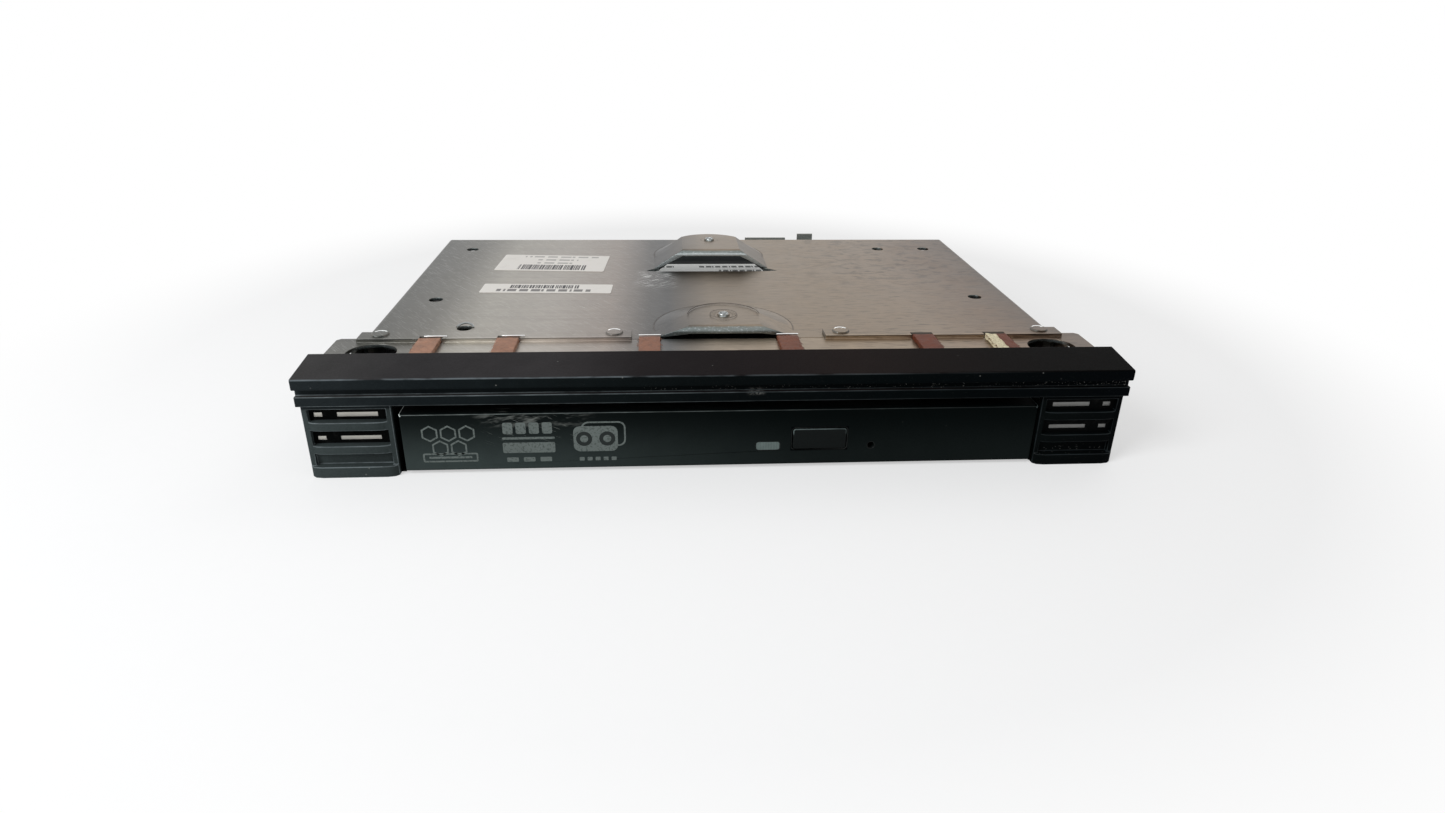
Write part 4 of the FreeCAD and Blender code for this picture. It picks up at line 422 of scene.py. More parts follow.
@dataclass(frozen=True)
class Finish:
    """A finish: a name, and a recipe that its kinds fill in."""

    name: str

    def make(self) -> bpy.types.Material:
        """Builds the finish's material.

        Returns:
            The material.
        """
        log.info("finish %s", self.name)
        return self.dress(Paint(self.name))

    def dress(self, paint: Paint) -> bpy.types.Material:
        """Fills a paint.

        Args:
            paint: the empty paint.

        Returns:
            Its material.
        """
        raise NotImplementedError


# Painted light: the top sheet's tones across the plate (pale grey on the left, a dark band left of
# the middle, browner and darker to the right) stand in for the light and reflections that fall on it.
ZINC_PAINTED_LIGHT = ((0.02, (84, 84, 80)), (0.08, (103, 101, 95)), (0.15, (154, 150, 142)),
        (0.25, (157, 151, 144)), (0.34, (140, 131, 124)), (0.40, (84, 82, 80)),
        (0.43, (72, 72, 72)), (0.50, (131, 119, 105)), (0.68, (131, 116, 98)),
        (0.82, (127, 112, 96)), (0.93, (106, 89, 74)), (1.0, (84, 72, 62)))
# Painted light on the bezel: tones for its top, its lips and its end blocks, pale on the left and
# near black on the right.
HOOD_PAINTED_LIGHT = ((0.0, (60, 59, 59)), (0.12, (47, 46, 47)), (0.30, (50, 48, 49)), (0.40, (31, 28, 29)),
        (0.50, (26, 22, 23)), (0.66, (29, 23, 22)), (0.85, (10, 8, 8)), (1.0, (2, 2, 2)))
LIPS_PAINTED_LIGHT = ((0.0, (34, 39, 41)), (0.14, (22, 27, 29)), (0.30, (16, 21, 22)), (0.50, (8, 12, 13)),
        (0.70, (4, 8, 9)), (1.0, (2, 4, 6)))
BLOCKS_PAINTED_LIGHT = ((0.0, (58, 65, 65)), (0.13, (44, 50, 50)), (0.86, (10, 14, 14)), (1.0, (4, 6, 7)))
PLAIN = ((0.0, (158, 158, 156)), (1.0, (150, 147, 142)))
# Painted shade: arcs where the scoops rise from the sheet, and rings about the nubs.
PAINTED_CREASE_ARCS = ((29.3, 8.1, 29.5, 0.3), (29.2, 15.7, 25.0, 0.4), (90.95, 15.65, 86.0, 0.4),
           (29.6, 3.1, 20.0, 0.24), (29.6, 2.1, 20.0, 0.24), (88.3, 2.4, 80.0, 0.24))


@dataclass(frozen=True)
class Zinc(Finish):
    """Zinc-coated sheet with rolled streaks, soft blotches, smudges and scratches, and with painted
    light: tones across the sheet, painted shade and painted highlights.
    """

    tones: tuple[tuple[float, Colour], ...] = PLAIN
    level: float = 1.0
    # worn scales the wear marks, and also the painted shade and painted highlights.
    worn: float = 0.0
    rough: float = 0.34
    metal: float = 1.0
    shine: float = 0.5

    def dress(self, paint: Paint) -> bpy.types.Material:
        """Fills a paint with the sheet's streaks and wear, and with painted light and shade.

        Args:
            paint: the empty paint.

        Returns:
            Its material.
        """
        place = paint.place()
        across, back, up = paint.axes(place, (0.0, FRONT, 0.0))
        right, front, rise = paint.facing()
        # The sheet's colour across its width; with the top sheet's tones it is painted light.
        colour_and_painted_light = paint.tones(across / PLATE_WIDE + 0.5, self.tones)
        rolled = paint.noise(place, 0.4, 4.0, 0.6, (70.0, 1.0, 1.0))
        blotch = paint.noise(place, 6.0, 5.0, 0.62)
        spangle = paint.cells(place, 1.3, (1.6, 1.0, 1.0), output="Color")
        streak = paint.noise(place, 0.9, 3.0, 0.7, (24.0, 1.0, 1.0), shift=5.0)
        level = (rolled * 0.4 + streak * 0.3 + blotch * 0.34 + spangle * 0.1 + 0.43) * self.level
        # Painted shade on faces that turn left or right, such as the sides of the scoops.
        slope_shade = (right.ramp(0.12, 0.5) * 0.5 + (-right).ramp(0.12, 0.5) * 0.3) * self.worn
        # Painted shade along the fold lines, where the sheet is also less metallic.
        fold = self.painted_crease_lines(across, back) * self.worn
        # Painted light: the strip before the step is lightened, most of all in the middle.
        strip_painted_light = across.band(-13.0, 16.0, 1.5) * 0.3 + 0.24
        level = level * self.stains_and_shade(paint, place, across, back) * (1.0 - slope_shade)
        level = level * (1.0 + back.ramp(21.2, 20.9) * strip_painted_light * self.worn) * (1.0 - fold * 0.8)
        colour = paint.wash(colour_and_painted_light, paint.grey(level))
        # Painted shade on the sloping sides of the dimples.
        dimple = back.band(21.8, 25.4, 0.1) * abs(across - SCOOP_MIDDLE).ramp(19.0, 20.0)
        dome_shade = dimple * rise.ramp(0.99, 0.9) * self.worn
        colour = paint.mix(dome_shade * 0.8, colour, tone(112, 109, 104))
        # Painted light: faces that look forward take a bluish grey, with patches of painted
        # highlight.
        lip = front.ramp(-0.35, -0.8) * (1.0 - dimple) * self.worn
        colour = paint.mix(lip * 0.8, colour, paint.wash(tone(118, 128, 128), paint.grey(level)))
        rubbed = paint.noise(place, 0.3, 4.0, 0.7, (2.0, 1.0, 1.0)).ramp(0.52, 0.72)
        colour = paint.mix(lip * rubbed * 0.7, colour, tone(196, 204, 206))
        # Painted highlight along the front rims of the scoop mouths.
        rim = front.ramp(-0.88, -0.97) * back.ramp(22.2, 22.6) * up.ramp(20.7, 20.9) * self.worn
        colour = paint.mix(rim * (rubbed * 0.3 + 0.5), colour, tone(214, 222, 224))
        # Painted light on the step's front face, with a line of painted shade along its top.
        step = lip * back.ramp(22.0, 21.6) * up.ramp(20.2, 20.6)
        step_edge_shade = 1.0 - up.ramp(21.1, 21.3) * 0.75
        colour = paint.mix(step, colour, paint.wash(colour_and_painted_light, paint.grey(level * 1.6 * step_edge_shade)))
        # Painted shade under the scoops, on faces that look down.
        inside = rise.ramp(0.05, -0.15) * across.band(-15.0, 18.2, 0.4) * back.ramp(23.2, 24.0)
        colour = paint.mix(inside * self.worn, colour, tone(14, 17, 18))
        marks = self.scuffs(paint, place, across, back)
        colour = paint.mix(marks, colour, tone(228, 228, 226))
        rough = blotch * 0.14 + rolled * 0.08 + (self.rough - 0.1)
        relief = rolled * 0.6 + spangle * 0.2 - marks * 0.6
        metal = (1.0 - fold * 0.9) * (1.0 - slope_shade * 0.5) * (1.0 - dome_shade * 0.9) * self.metal
        return paint.finish(colour, rough, metal, relief, 0.02, Specular_IOR_Level=self.shine)

    def stains_and_shade(self, paint: Paint, place: Field, across: Field, back: Field) -> Field:
        """Painted shade that darkens the rear left, the smudges at the rear right, and flecks along
        the rolling.

        Args:
            paint: the paint they are for.
            place: where, in millimetres.
            across: the place across.
            back: the place behind the bezel's front.

        Returns:
            The share of the light that they leave.
        """
        # Painted shade: the rear left is darker.
        rear = back.ramp(58.0, 108.0) * across.ramp(-8.0, -55.0)
        smudge = paint.noise(place, 2.6, 4.0, 0.65, (1.6, 1.0, 1.0), shift=31.0).ramp(0.5, 0.62)
        smudge = smudge * across.ramp(10.0, 46.0) * back.ramp(44.0, 76.0)
        flecks = paint.noise(place, 0.55, 3.0, 0.6, (7.0, 1.0, 1.0), shift=57.0).ramp(0.52, 0.66)
        flecks = flecks * across.ramp(-30.0, 50.0)
        return ((1.0 - rear * 0.12 * self.worn) * (1.0 - smudge * 0.4 * self.worn)
                * (1.0 - flecks * 0.4 * self.worn))

    def scuffs(self, paint: Paint, place: Field, across: Field, back: Field) -> Field:
        """The scuffed patch before the rear scoop, and fine scratches on the left.

        Args:
            paint: the paint they are for.
            place: where, in millimetres.
            across: the place across.
            back: the place behind the bezel's front.

        Returns:
            The mask of the marks.
        """
        coarse = paint.scratches(place, 0.2, 26.0, (0.0, 0.0, 34.0), 0.6)
        patch = (across.band(-18.0, -9.0, 3.0) * back.band(60.0, 73.0, 4.0)
                 * coarse.most(paint.specks(place, 1.4, 0.14)))
        fine = paint.scratches(place, 0.07, 70.0, (0.0, 0.0, -52.0), 0.66)
        return patch.most(fine * across.ramp(0.0, -30.0) * 0.35) * self.worn

    def painted_crease_lines(self, across: Field, back: Field) -> Field:
        """Painted shade: dark lines round the backs of the scoops and rings about their nubs.

        Args:
            across: the place across.
            back: the place behind the bezel's front.

        Returns:
            The mask of the lines.
        """
        lines = None
        for middle, radius, start, soft in PAINTED_CREASE_ARCS:
            aside, behind = across - SCOOP_MIDDLE, back - middle
            reach = (aside * aside + behind * behind).maths("SQRT")
            line = reach.band(radius - 0.02, radius + 0.02, soft) * back.ramp(start, start + 2.0)
            lines = line if lines is None else lines.most(line)
        return lines


@dataclass(frozen=True)
class Moulding(Finish):
    """Moulded plastic: fine grain, painted light that pales it towards the left, dust and scuffs."""

    colour: Colour = (14, 18, 18)
    # Painted light: the plastic pales to the second colour towards the left, as far as film says.
    painted_light_colour: Colour = (44, 48, 48)
    film: float = 0.0
    rough: float = 0.5
    grain: float = 0.02
    pitch: float = 0.5
    dust: float = 0.12
    shine: float = 0.25

    def dress(self, paint: Paint) -> bpy.types.Material:
        """Fills a paint with grain, painted light towards the left, and dust.

        Args:
            paint: the empty paint.

        Returns:
            Its material.
        """
        place = paint.place()
        across, _, _ = paint.axes(place)
        cloud = paint.noise(place, 5.0, 4.0, 0.6)
        grain = paint.noise(place, self.pitch, 3.0, 0.65)
        # Painted light towards the left.
        film = across.ramp(60.0, -84.0) * (cloud * 0.5 + 0.75) * self.film
        base = paint.mix(film, tone(*self.colour), tone(*self.painted_light_colour))
        base = paint.wash(base, paint.grey(cloud * 0.3 + grain * 0.5 + 0.6))
        dust = paint.specks(place, 0.9, self.dust * 0.5)
        lint = paint.scratches(place, 0.05, 30.0, (20.0, 31.0, 12.0), 0.74)
        marks = (dust + lint * self.dust).least(1.0)
        colour = paint.mix(marks * 0.5, base, tone(120, 122, 118))
        rough = grain * 0.12 + cloud * 0.08 + (self.rough - 0.1)
        return paint.finish(colour, rough, 0.0, grain + dust * 0.4, self.grain,
                            Specular_IOR_Level=self.shine)


@dataclass(frozen=True)
class BezelPlastic(Moulding):
    """The bezel's plastic with dust in its grain, and painted light that makes it paler on its top
    and towards the left.
    """

    def dress(self, paint: Paint) -> bpy.types.Material:
        """Fills a paint with the painted light of the hood, its lips and the end blocks.

        Args:
            paint: the empty paint.

        Returns:
            Its material.
        """
        place = paint.place()
        across, _, up = paint.axes(place)
        _, _, rise = paint.facing()
        along = across / 164.0 + 0.5
        # Painted light: faces that look forward take the lips' and blocks' tones, and faces that look
        # up take the hood's paler tones.
        fronts = paint.mix(up.ramp(14.3, 15.0), paint.tones(along, BLOCKS_PAINTED_LIGHT),
                           paint.tones(along, LIPS_PAINTED_LIGHT))
        base = paint.mix(rise.ramp(0.3, 0.75) * up.ramp(13.0, 14.5), fronts,
                         paint.tones(along, HOOD_PAINTED_LIGHT))
        cloud = paint.noise(place, 5.0, 4.0, 0.6)
        grain = paint.noise(place, self.pitch, 3.0, 0.65)
        pebble = paint.cells(place, 0.3)
        base = paint.wash(base, paint.grey(cloud * 0.5 + grain * 0.5 + 0.5))
        dust = paint.specks(place, 0.8, 0.07)
        lint = paint.scratches(place, 0.05, 34.0, (20.0, 31.0, 12.0), 0.74)
        low = up.band(2.0, 3.6, 0.6) * across.ramp(60.0, 66.0) * paint.specks(place, 0.5, 0.3)
        scuff = (across.band(4.6, 7.4, 0.8) * up.band(17.2, 18.0, 0.4)
                 * paint.noise(place, 0.4, 3.0, 0.7).ramp(0.4, 0.6))
        marks = (dust * 0.6 + lint * 0.25 + low * 0.5 + scuff * 0.7).least(1.0)
        # Painted highlight, patchy like wear, on the rounded upper edges, fading to the right.
        rubbed = (rise.band(0.3, 0.86, 0.08) * up.ramp(14.0, 16.0) * across.ramp(70.0, -70.0)
                  * paint.noise(place, 2.0, 3.0, 0.6, (4.0, 1.0, 1.0)).ramp(0.3, 0.6))
        base = paint.mix(rubbed * 0.8, base, tone(104, 112, 116))
        colour = paint.mix(marks * 0.55, base, tone(150, 150, 146))
        rough = grain * 0.12 + cloud * 0.08 + (self.rough - 0.1)
        return paint.finish(colour, rough, 0.0, grain + pebble * 0.6 + dust * 0.4, self.grain,
                            Specular_IOR_Level=self.shine)


@dataclass(frozen=True)
class WornEdgeHighlight(Finish):
    """The rubbed edge of a moulding, patchy like wear, with a painted highlight that makes it paler
    than its faces, fading to the right and dim below a set height.
    """

    left: Colour = (96, 104, 106)
    right: Colour = (26, 32, 34)
    highlight_brow: float = 0.0
    painted_glow: float = 0.0

    def dress(self, paint: Paint) -> bpy.types.Material:
        """Fills a paint with patchy wear and a painted highlight that fades to the right.

        Args:
            paint: the empty paint.

        Returns:
            Its material.
        """
        place = paint.place()
        across, _, up = paint.axes(place)
        patches = paint.noise(place, 2.4, 4.0, 0.65, (3.0, 1.0, 1.0))
        nicks = paint.noise(place, 0.5, 3.0, 0.6).ramp(0.6, 0.75)
        # Painted highlight: pale on the left, dark to the right, and full only near the top.
        colour_and_painted_light = paint.mix(across.ramp(-80.0, 66.0), tone(*self.left), tone(*self.right))
        lit = up.ramp(self.highlight_brow - 0.6, self.highlight_brow) * 0.95 + 0.05
        level = (patches.ramp(0.3, 0.7) * 0.8 + nicks * 0.4 + 0.35) * lit
        colour = paint.wash(colour_and_painted_light, paint.grey(level))
        # Painted emission: the edge also gives off its own colour as light.
        return paint.finish(colour, patches * 0.2 + 0.3, 0.0, nicks, 0.01,
                            Specular_IOR_Level=0.1, Emission_Color=colour,
                            Emission_Strength=self.painted_glow)


@dataclass(frozen=True)
class FacePanel(Moulding):
    """The front panel's plastic, with smears on its left, painted light towards the left and the
    bottom, and a line of painted shade about the button.
    """

    button: tuple[float, float, float, float] = (19.45, 6.625, 5.6, 2.4)

    def dress(self, paint: Paint) -> bpy.types.Material:
        """Fills a paint with the panel's smears, its painted light and the painted shade about the
        button.

        Args:
            paint: the empty paint.

        Returns:
            Its material.
        """
        place = paint.place()
        across, _, up = paint.axes(place)
        cloud = paint.noise(place, 5.0, 4.0, 0.6)
        grain = paint.noise(place, self.pitch, 3.0, 0.65)
        # Painted light: paler towards the left and towards the bottom.
        low = up.ramp(13.4, 0.6) * 0.9 + 0.1
        film = (across.ramp(26.0, -64.0) * 0.82 + 0.18) * low * (cloud * 0.4 + 0.8) * self.film
        base = paint.mix(film, tone(*self.colour), tone(*self.painted_light_colour))
        smears = paint.noise(place, 1.1, 3.0, 0.6, (5.0, 1.0, 1.0), (0.0, -8.0, 0.0), 3.0)
        rubbed = (smears.ramp(0.52, 0.7) * across.band(-48.0, -29.0, 4.0)
                  * up.band(10.6, 13.2, 0.8))
        fine = paint.scratches(place, 0.09, 34.0, (0.0, 24.0, 0.0), 0.69)
        cuts = fine * across.band(-47.0, -30.0, 4.0) * up.band(7.0, 12.0, 2.0)
        dust = paint.specks(place, 1.3, self.dust * 0.4)
        marks = (rubbed * 0.55 + cuts * 0.8 + dust * 0.5).least(1.0)
        colour = paint.mix(marks, base, tone(128, 132, 128))
        # Painted shade in the gap about the button.
        aside = abs(across - self.button[0]) - self.button[2]
        above = abs(up - self.button[1]) - self.button[3]
        outline = abs(aside.most(above)).ramp(0.34, 0.24)
        colour = paint.mix(outline, colour, tone(0, 1, 2))
        rough = grain * 0.14 + cloud * 0.06 + (self.rough - 0.1)
        return paint.finish(colour, rough, 0.0, grain - marks, self.grain,
                            Specular_IOR_Level=self.shine)


@dataclass(frozen=True)
class Ink(Finish):
    """Worn pale ink printed on plastic."""

    colour: Colour = (98, 106, 103)
    under: Colour = (30, 36, 35)

    def dress(self, paint: Paint) -> bpy.types.Material:
        """Fills a paint with ink that is rubbed away in places.

        Args:
            paint: the empty paint.

        Returns:
            Its material.
        """
        place = paint.place()
        worn = paint.noise(place, 0.5, 4.0, 0.7).ramp(0.5, 0.62)
        patchy = paint.noise(place, 3.0, 2.0, 0.5)
        colour = paint.mix(worn * 0.5 + patchy * 0.2, tone(*self.colour), tone(*self.under))
        return paint.finish(colour, worn * 0.2 + 0.5, 0.0, patchy, 0.01,
                            Specular_IOR_Level=0.2)


@dataclass(frozen=True)
class Weave(Finish):
    """Copper-coloured conductive cloth, rubbed and spotted, with painted light that makes it brighter
    on the left.
    """

    left: Colour = (158, 119, 98)
    right: Colour = (99, 50, 32)
    pitch: float = 0.42

    def dress(self, paint: Paint) -> bpy.types.Material:
        """Fills a paint with the cloth's threads.

        Args:
            paint: the empty paint.

        Returns:
            Its material.
        """
        place = paint.place()
        across, back, up = paint.axes(place)
        wave = math.tau / self.pitch
        warp = (across * wave).maths("SINE")
        weft = ((back + up) * wave).maths("SINE")
        threads = abs(warp * weft) * 0.7 + abs(warp + weft) * 0.15
        patch = paint.noise(place, 1.6, 4.0, 0.65)
        spots = paint.noise(place, 0.7, 2.0, 0.6, shift=9.0).ramp(0.64, 0.74)
        # Painted light: brighter on the left, darker to the right.
        base = paint.mix(across.ramp(-64.0, 40.0), tone(*self.left), tone(*self.right))
        level = threads * 0.3 + patch * 1.2 + 0.24
        colour = paint.mix(spots * 0.6, paint.wash(base, paint.grey(level)), tone(70, 48, 40))
        return paint.finish(colour, patch * 0.2 + 0.45, patch * 0.3 + 0.1, threads, 0.05,
                            Specular_IOR_Level=0.2)


@dataclass(frozen=True)
class Foam(Finish):
    """Open cream foam."""

    light: Colour = (232, 222, 190)
    dark: Colour = (150, 128, 88)

    def dress(self, paint: Paint) -> bpy.types.Material:
        """Fills a paint with open cells.

        Args:
            paint: the empty paint.

        Returns:
            Its material.
        """
        place = paint.place()
        pores = paint.cells(place, 0.35)
        torn = paint.noise(place, 0.8, 4.0, 0.7)
        colour = paint.mix(pores.ramp(0.45, 0.1) * 0.6 + torn.ramp(0.6, 0.4) * 0.3,
                           tone(*self.light), tone(*self.dark))
        return paint.finish(colour, torn * 0.1 + 0.85, 0.0, pores + torn, 0.16)


class Print(str, Enum):
    """The layouts of generic print that a label can carry."""

    LARGE = "lines over a block of bars"
    NARROW = "a block of bars over a line"
    # The dark field on the case label is painted shade, where the label lies under the sheet.
    CASE = "rules, and two rows of dashes before a dark field"


@dataclass(frozen=True)
class Paper(Finish):
    """A paper label whose print is only bars, rules and dashes; the case label also carries a field
    of painted shade and painted emission.
    """

    corner: Point = (0.0, 0.0, 0.0)
    turn: float = 0.0
    wide: float = 30.0
    deep: float = 15.0
    layout: Print = Print.LARGE
    white: Colour = (226, 222, 216)
    ink: Colour = (66, 64, 66)
    shine: float = 0.3
    # Painted emission: light that the label gives off, to lift it where it lies in shade.
    painted_glow: float = 0.0
    pitch: float = 0.56

    def bars(self, along: Field) -> Field:
        """Upright bars of uneven width, none of them a code.

        Args:
            along: the coordinate that they repeat along.

        Returns:
            The mask of the bars.
        """
        wobble = (along * 2.3).maths("SINE") * 0.28 + (along * 5.1).maths("SINE") * 0.16
        return abs(((along + wobble * self.pitch) / self.pitch) % 1.0 - 0.5).ramp(0.36, 0.28)

    def dress(self, paint: Paint) -> bpy.types.Material:
        """Fills a paint with the label's print.

        Args:
            paint: the empty paint.

        Returns:
            Its material.
        """
        place = paint.place()
        along, up, _ = paint.axes(place, self.corner, self.turn)
        wide, deep = self.wide, self.deep
        fibre = paint.noise(place, 0.6, 4.0, 0.6)
        dirt = paint.noise(place, 4.0, 4.0, 0.6)
        if self.layout is Print.LARGE:
            block = self.bars(along) * (
                along.band(wide * 0.2, wide * 0.82, 0.05) * up.band(deep * 0.06, deep * 0.36, 0.06))
            rules = self.dashes(along, 1.5) * (
                along.band(wide * 0.2, wide * 0.9, 0.1) * up.band(deep * 0.84, deep * 0.92, 0.1)
                + along.band(wide * 0.34, wide * 0.72, 0.1) * up.band(deep * 0.64, deep * 0.72, 0.1)
                + along.band(wide * 0.35, wide * 0.7, 0.1) * up.band(deep * 0.44, deep * 0.52, 0.1))
            print_ = block + rules * 0.5
        elif self.layout is Print.NARROW:
            block = self.bars(along) * (
                along.band(wide * 0.21, wide * 0.74, 0.05) * up.band(deep * 0.5, deep * 0.88, 0.06))
            rules = along.band(wide * 0.12, wide * 0.84, 0.1) * up.band(deep * 0.14, deep * 0.4, 0.1)
            print_ = block + rules * self.dashes(along, 1.9) * 0.8
        else:
            lower = along.band(37.0, 54.0, 0.2) * up.band(38.6, 40.4, 0.2)
            upper = ((along.band(19.0, 23.5, 0.2) + along.band(31.0, 52.0, 0.2))
                     * up.band(42.8, 44.8, 0.2))
            rules = abs((up / 4.0) % 1.0 - 0.5).ramp(0.12, 0.06) * up.ramp(34.0, 33.0)
            print_ = ((lower + upper) * self.dashes(along, 2.6) * 0.8
                      + rules * self.dashes(along, 1.1) * 0.6)
        base = paint.mix(dirt.ramp(0.5, 0.8) * 0.25, tone(*self.white), tone(186, 180, 172))
        colour = paint.mix(print_.least(1.0), base, tone(*self.ink))
        # Painted shade: the case label turns dark behind a line, where it lies in shadow under the
        # sheet.
        if self.layout is Print.CASE:
            colour = paint.mix(up.ramp(46.6, 46.9), colour, tone(16, 20, 21))
        return paint.finish(colour, fibre * 0.1 + 0.5, 0.0, fibre, 0.02,
                            Specular_IOR_Level=self.shine, Emission_Color=colour,
                            Emission_Strength=self.painted_glow)

    def dashes(self, along: Field, rate: float) -> Field:
        """Gaps along a rule, so that it reads as grey marks and as no letters.

        Args:
            along: the coordinate along the rule.
            rate: how fast the dashes follow each other.

        Returns:
            The mask of the dashes.
        """
        steps = (along * rate).maths("SINE") + (along * rate * 2.4).maths("SINE") * 0.7
        return steps.ramp(-0.7, -0.5)


@dataclass(frozen=True)
class Steel(Finish):
    """Bare or plated steel, brushed along one axis or turned."""

    colour: Colour = (176, 176, 176)
    rough: float = 0.25
    grain: Point = (1.0, 1.0, 1.0)
    stain: float = 0.15

    def dress(self, paint: Paint) -> bpy.types.Material:
        """Fills a paint with brushing and stain marks.

        Args:
            paint: the empty paint.

        Returns:
            Its material.
        """
        place = paint.place()
        brushed = paint.noise(place, 0.12, 3.0, 0.6, self.grain)
        stain = paint.noise(place, 1.6, 4.0, 0.6).ramp(0.52, 0.75)
        level = brushed * 0.3 + 0.85 - stain * self.stain
        colour = paint.wash(tone(*self.colour), paint.grey(level))
        rough = brushed * 0.12 + stain * 0.15 + (self.rough - 0.06)
        return paint.finish(colour, rough, 1.0, brushed, 0.006)


@dataclass(frozen=True)
class Board(Finish):
    """A circuit board: solder mask over traces, with rows of pads."""

    mask: Colour = (22, 74, 42)
    trace: Colour = (38, 104, 60)
    pad: Colour = (190, 180, 140)

    def dress(self, paint: Paint) -> bpy.types.Material:
        """Fills a paint with traces and pads.

        Args:
            paint: the empty paint.

        Returns:
            Its material.
        """
        place = paint.place()
        across, back, up = paint.axes(place)
        lanes = abs(((back + up) / 1.1) % 1.0 - 0.5).ramp(0.24, 0.2)
        turns = paint.cells(place, 7.0, output="Color").ramp(0.4, 0.44)
        columns = abs((across / 1.1) % 1.0 - 0.5).ramp(0.24, 0.2)
        traces = lanes * turns + columns * (1.0 - turns)
        pads = paint.cells(place, 1.9).ramp(0.3, 0.26) * (
            paint.cells(place, 1.9, output="Color").ramp(0.62, 0.64))
        mottle = paint.noise(place, 2.0, 3.0, 0.5)
        base = paint.mix(traces, tone(*self.mask), tone(*self.trace))
        base = paint.wash(base, paint.grey(mottle * 0.3 + 0.85))
        colour = paint.mix(pads, base, tone(*self.pad))
        return paint.finish(colour, 0.42 - pads * 0.12 + mottle * 0.06, pads * 0.8,
                            traces * 0.5 + pads, 0.03)


@dataclass(frozen=True)
class Film(Finish):
    """Amber film with copper lines under it."""

    def dress(self, paint: Paint) -> bpy.types.Material:
        """Fills a paint with the cable's lines.

        Args:
            paint: the empty paint.

        Returns:
            Its material.
        """
        place = paint.place()
        across, _, _ = paint.axes(place)
        lines = abs((across / 0.8) % 1.0 - 0.5).ramp(0.3, 0.22)
        crease = paint.noise(place, 3.0, 3.0, 0.5)
        colour = paint.mix(lines, tone(150, 96, 40), tone(206, 146, 84))
        colour = paint.wash(colour, paint.grey(crease * 0.3 + 0.85))
        return paint.finish(colour, crease * 0.1 + 0.28, lines * 0.3, lines + crease, 0.02)


@dataclass(frozen=True)
class Rubber(Finish):
    """Matt rubber, faintly dusty."""

    colour: Colour = (34, 34, 35)
    dusty: float = 0.35
    shine: float = 0.3

    def dress(self, paint: Paint) -> bpy.types.Material:
        """Fills a paint with pores and dust.

        Args:
            paint: the empty paint.

        Returns:
            Its material.
        """
        place = paint.place()
        pores = paint.noise(place, 0.3, 3.0, 0.6)
        dust = paint.noise(place, 1.5, 4.0, 0.65).ramp(0.5, 0.8)
        colour = paint.mix(dust * self.dusty, tone(*self.colour), tone(92, 90, 88))
        return paint.finish(colour, pores * 0.1 + 0.75, 0.0, pores, 0.03,
                            Specular_IOR_Level=self.shine)


@dataclass(frozen=True)
class Cast(Finish):
    """Grey die-cast metal with a faint skin."""

    colour: Colour = (126, 127, 130)

    def dress(self, paint: Paint) -> bpy.types.Material:
        """Fills a paint with the casting's skin.

        Args:
            paint: the empty paint.

        Returns:
            Its material.
        """
        place = paint.place()
        skin = paint.noise(place, 0.35, 4.0, 0.7)
        flow = paint.noise(place, 5.0, 3.0, 0.5, (3.0, 1.0, 1.0), (0.0, 0.0, -47.0))
        colour = paint.wash(tone(*self.colour), paint.grey(skin * 0.24 + flow * 0.2 + 0.78))
        return paint.finish(colour, skin * 0.2 + 0.42, 0.75, skin, 0.03)


@dataclass(frozen=True)
class Lens(Finish):
    """A coated lens, clear with a violet sheen at its rim."""

    def dress(self, paint: Paint) -> bpy.types.Material:
        """Fills a paint with the coating.

        Args:
            paint: the empty paint.

        Returns:
            Its material.
        """
        place = paint.place()
        sheen = paint.noise(place, 1.6, 2.0, 0.5)
        colour = paint.mix(sheen, tone(150, 160, 205), tone(196, 176, 216))
        return paint.finish(colour, sheen * 0.04 + 0.03, 0.0, sheen, 0.002,
                            Transmission_Weight=0.7, IOR=1.5)


@dataclass(frozen=True)
class LightPipe(Finish):
    """Milky clear plastic, unlit, with faint ribs."""

    def dress(self, paint: Paint) -> bpy.types.Material:
        """Fills a paint with the pipe's ribs.

        Args:
            paint: the empty paint.

        Returns:
            Its material.
        """
        place = paint.place()
        across, _, _ = paint.axes(place)
        ribs = abs((across / 0.55) % 1.0 - 0.5) * 2.0
        cloud = paint.noise(place, 0.9, 3.0, 0.6)
        colour = paint.mix(cloud * 0.5 + ribs * 0.25, tone(70, 82, 80), tone(108, 122, 119))
        return paint.finish(colour, cloud * 0.1 + 0.3, 0.0, ribs, 0.02,
                            Specular_IOR_Level=0.4)


@dataclass(frozen=True)
class Ground(Finish):
    """The pale floor, which turns into the white background away from the part."""

    near: float = 0.085
    far: float = 0.2

    def dress(self, paint: Paint) -> bpy.types.Material:
        """Fills a paint with the floor and its fading edge.

        Args:
            paint: the empty paint.

        Returns:
            Its material.
        """
        place = paint.place()
        away = paint.node("ShaderNodeVectorMath", {"operation": "LENGTH"}, {0: place}, "Value")
        fade = (away / 1000.0).ramp(self.near, self.far)
        paper = paint.noise(place, 3.0, 3.0, 0.5)
        light = paint.node("ShaderNodeEmission", {}, {"Color": (1.0, 1.0, 1.0), "Strength": 1.0})
        made = paint.finish(paint.mix(paper, (0.93, 0.93, 0.93), (0.95, 0.95, 0.95)),
                            paper * 0.1 + 0.85, 0.0, paper, 0.01, Specular_IOR_Level=0.1)
        shade = Field(paint, paint.shader.outputs[0])
        seen = paint.node("ShaderNodeLightPath", {}, {}, "Is Camera Ray") * 0.5
        blend = paint.node("ShaderNodeMixShader", {}, {0: fade.most(seen), 1: shade, 2: light})
        paint.feed(paint.output.inputs[0], blend)
        return made


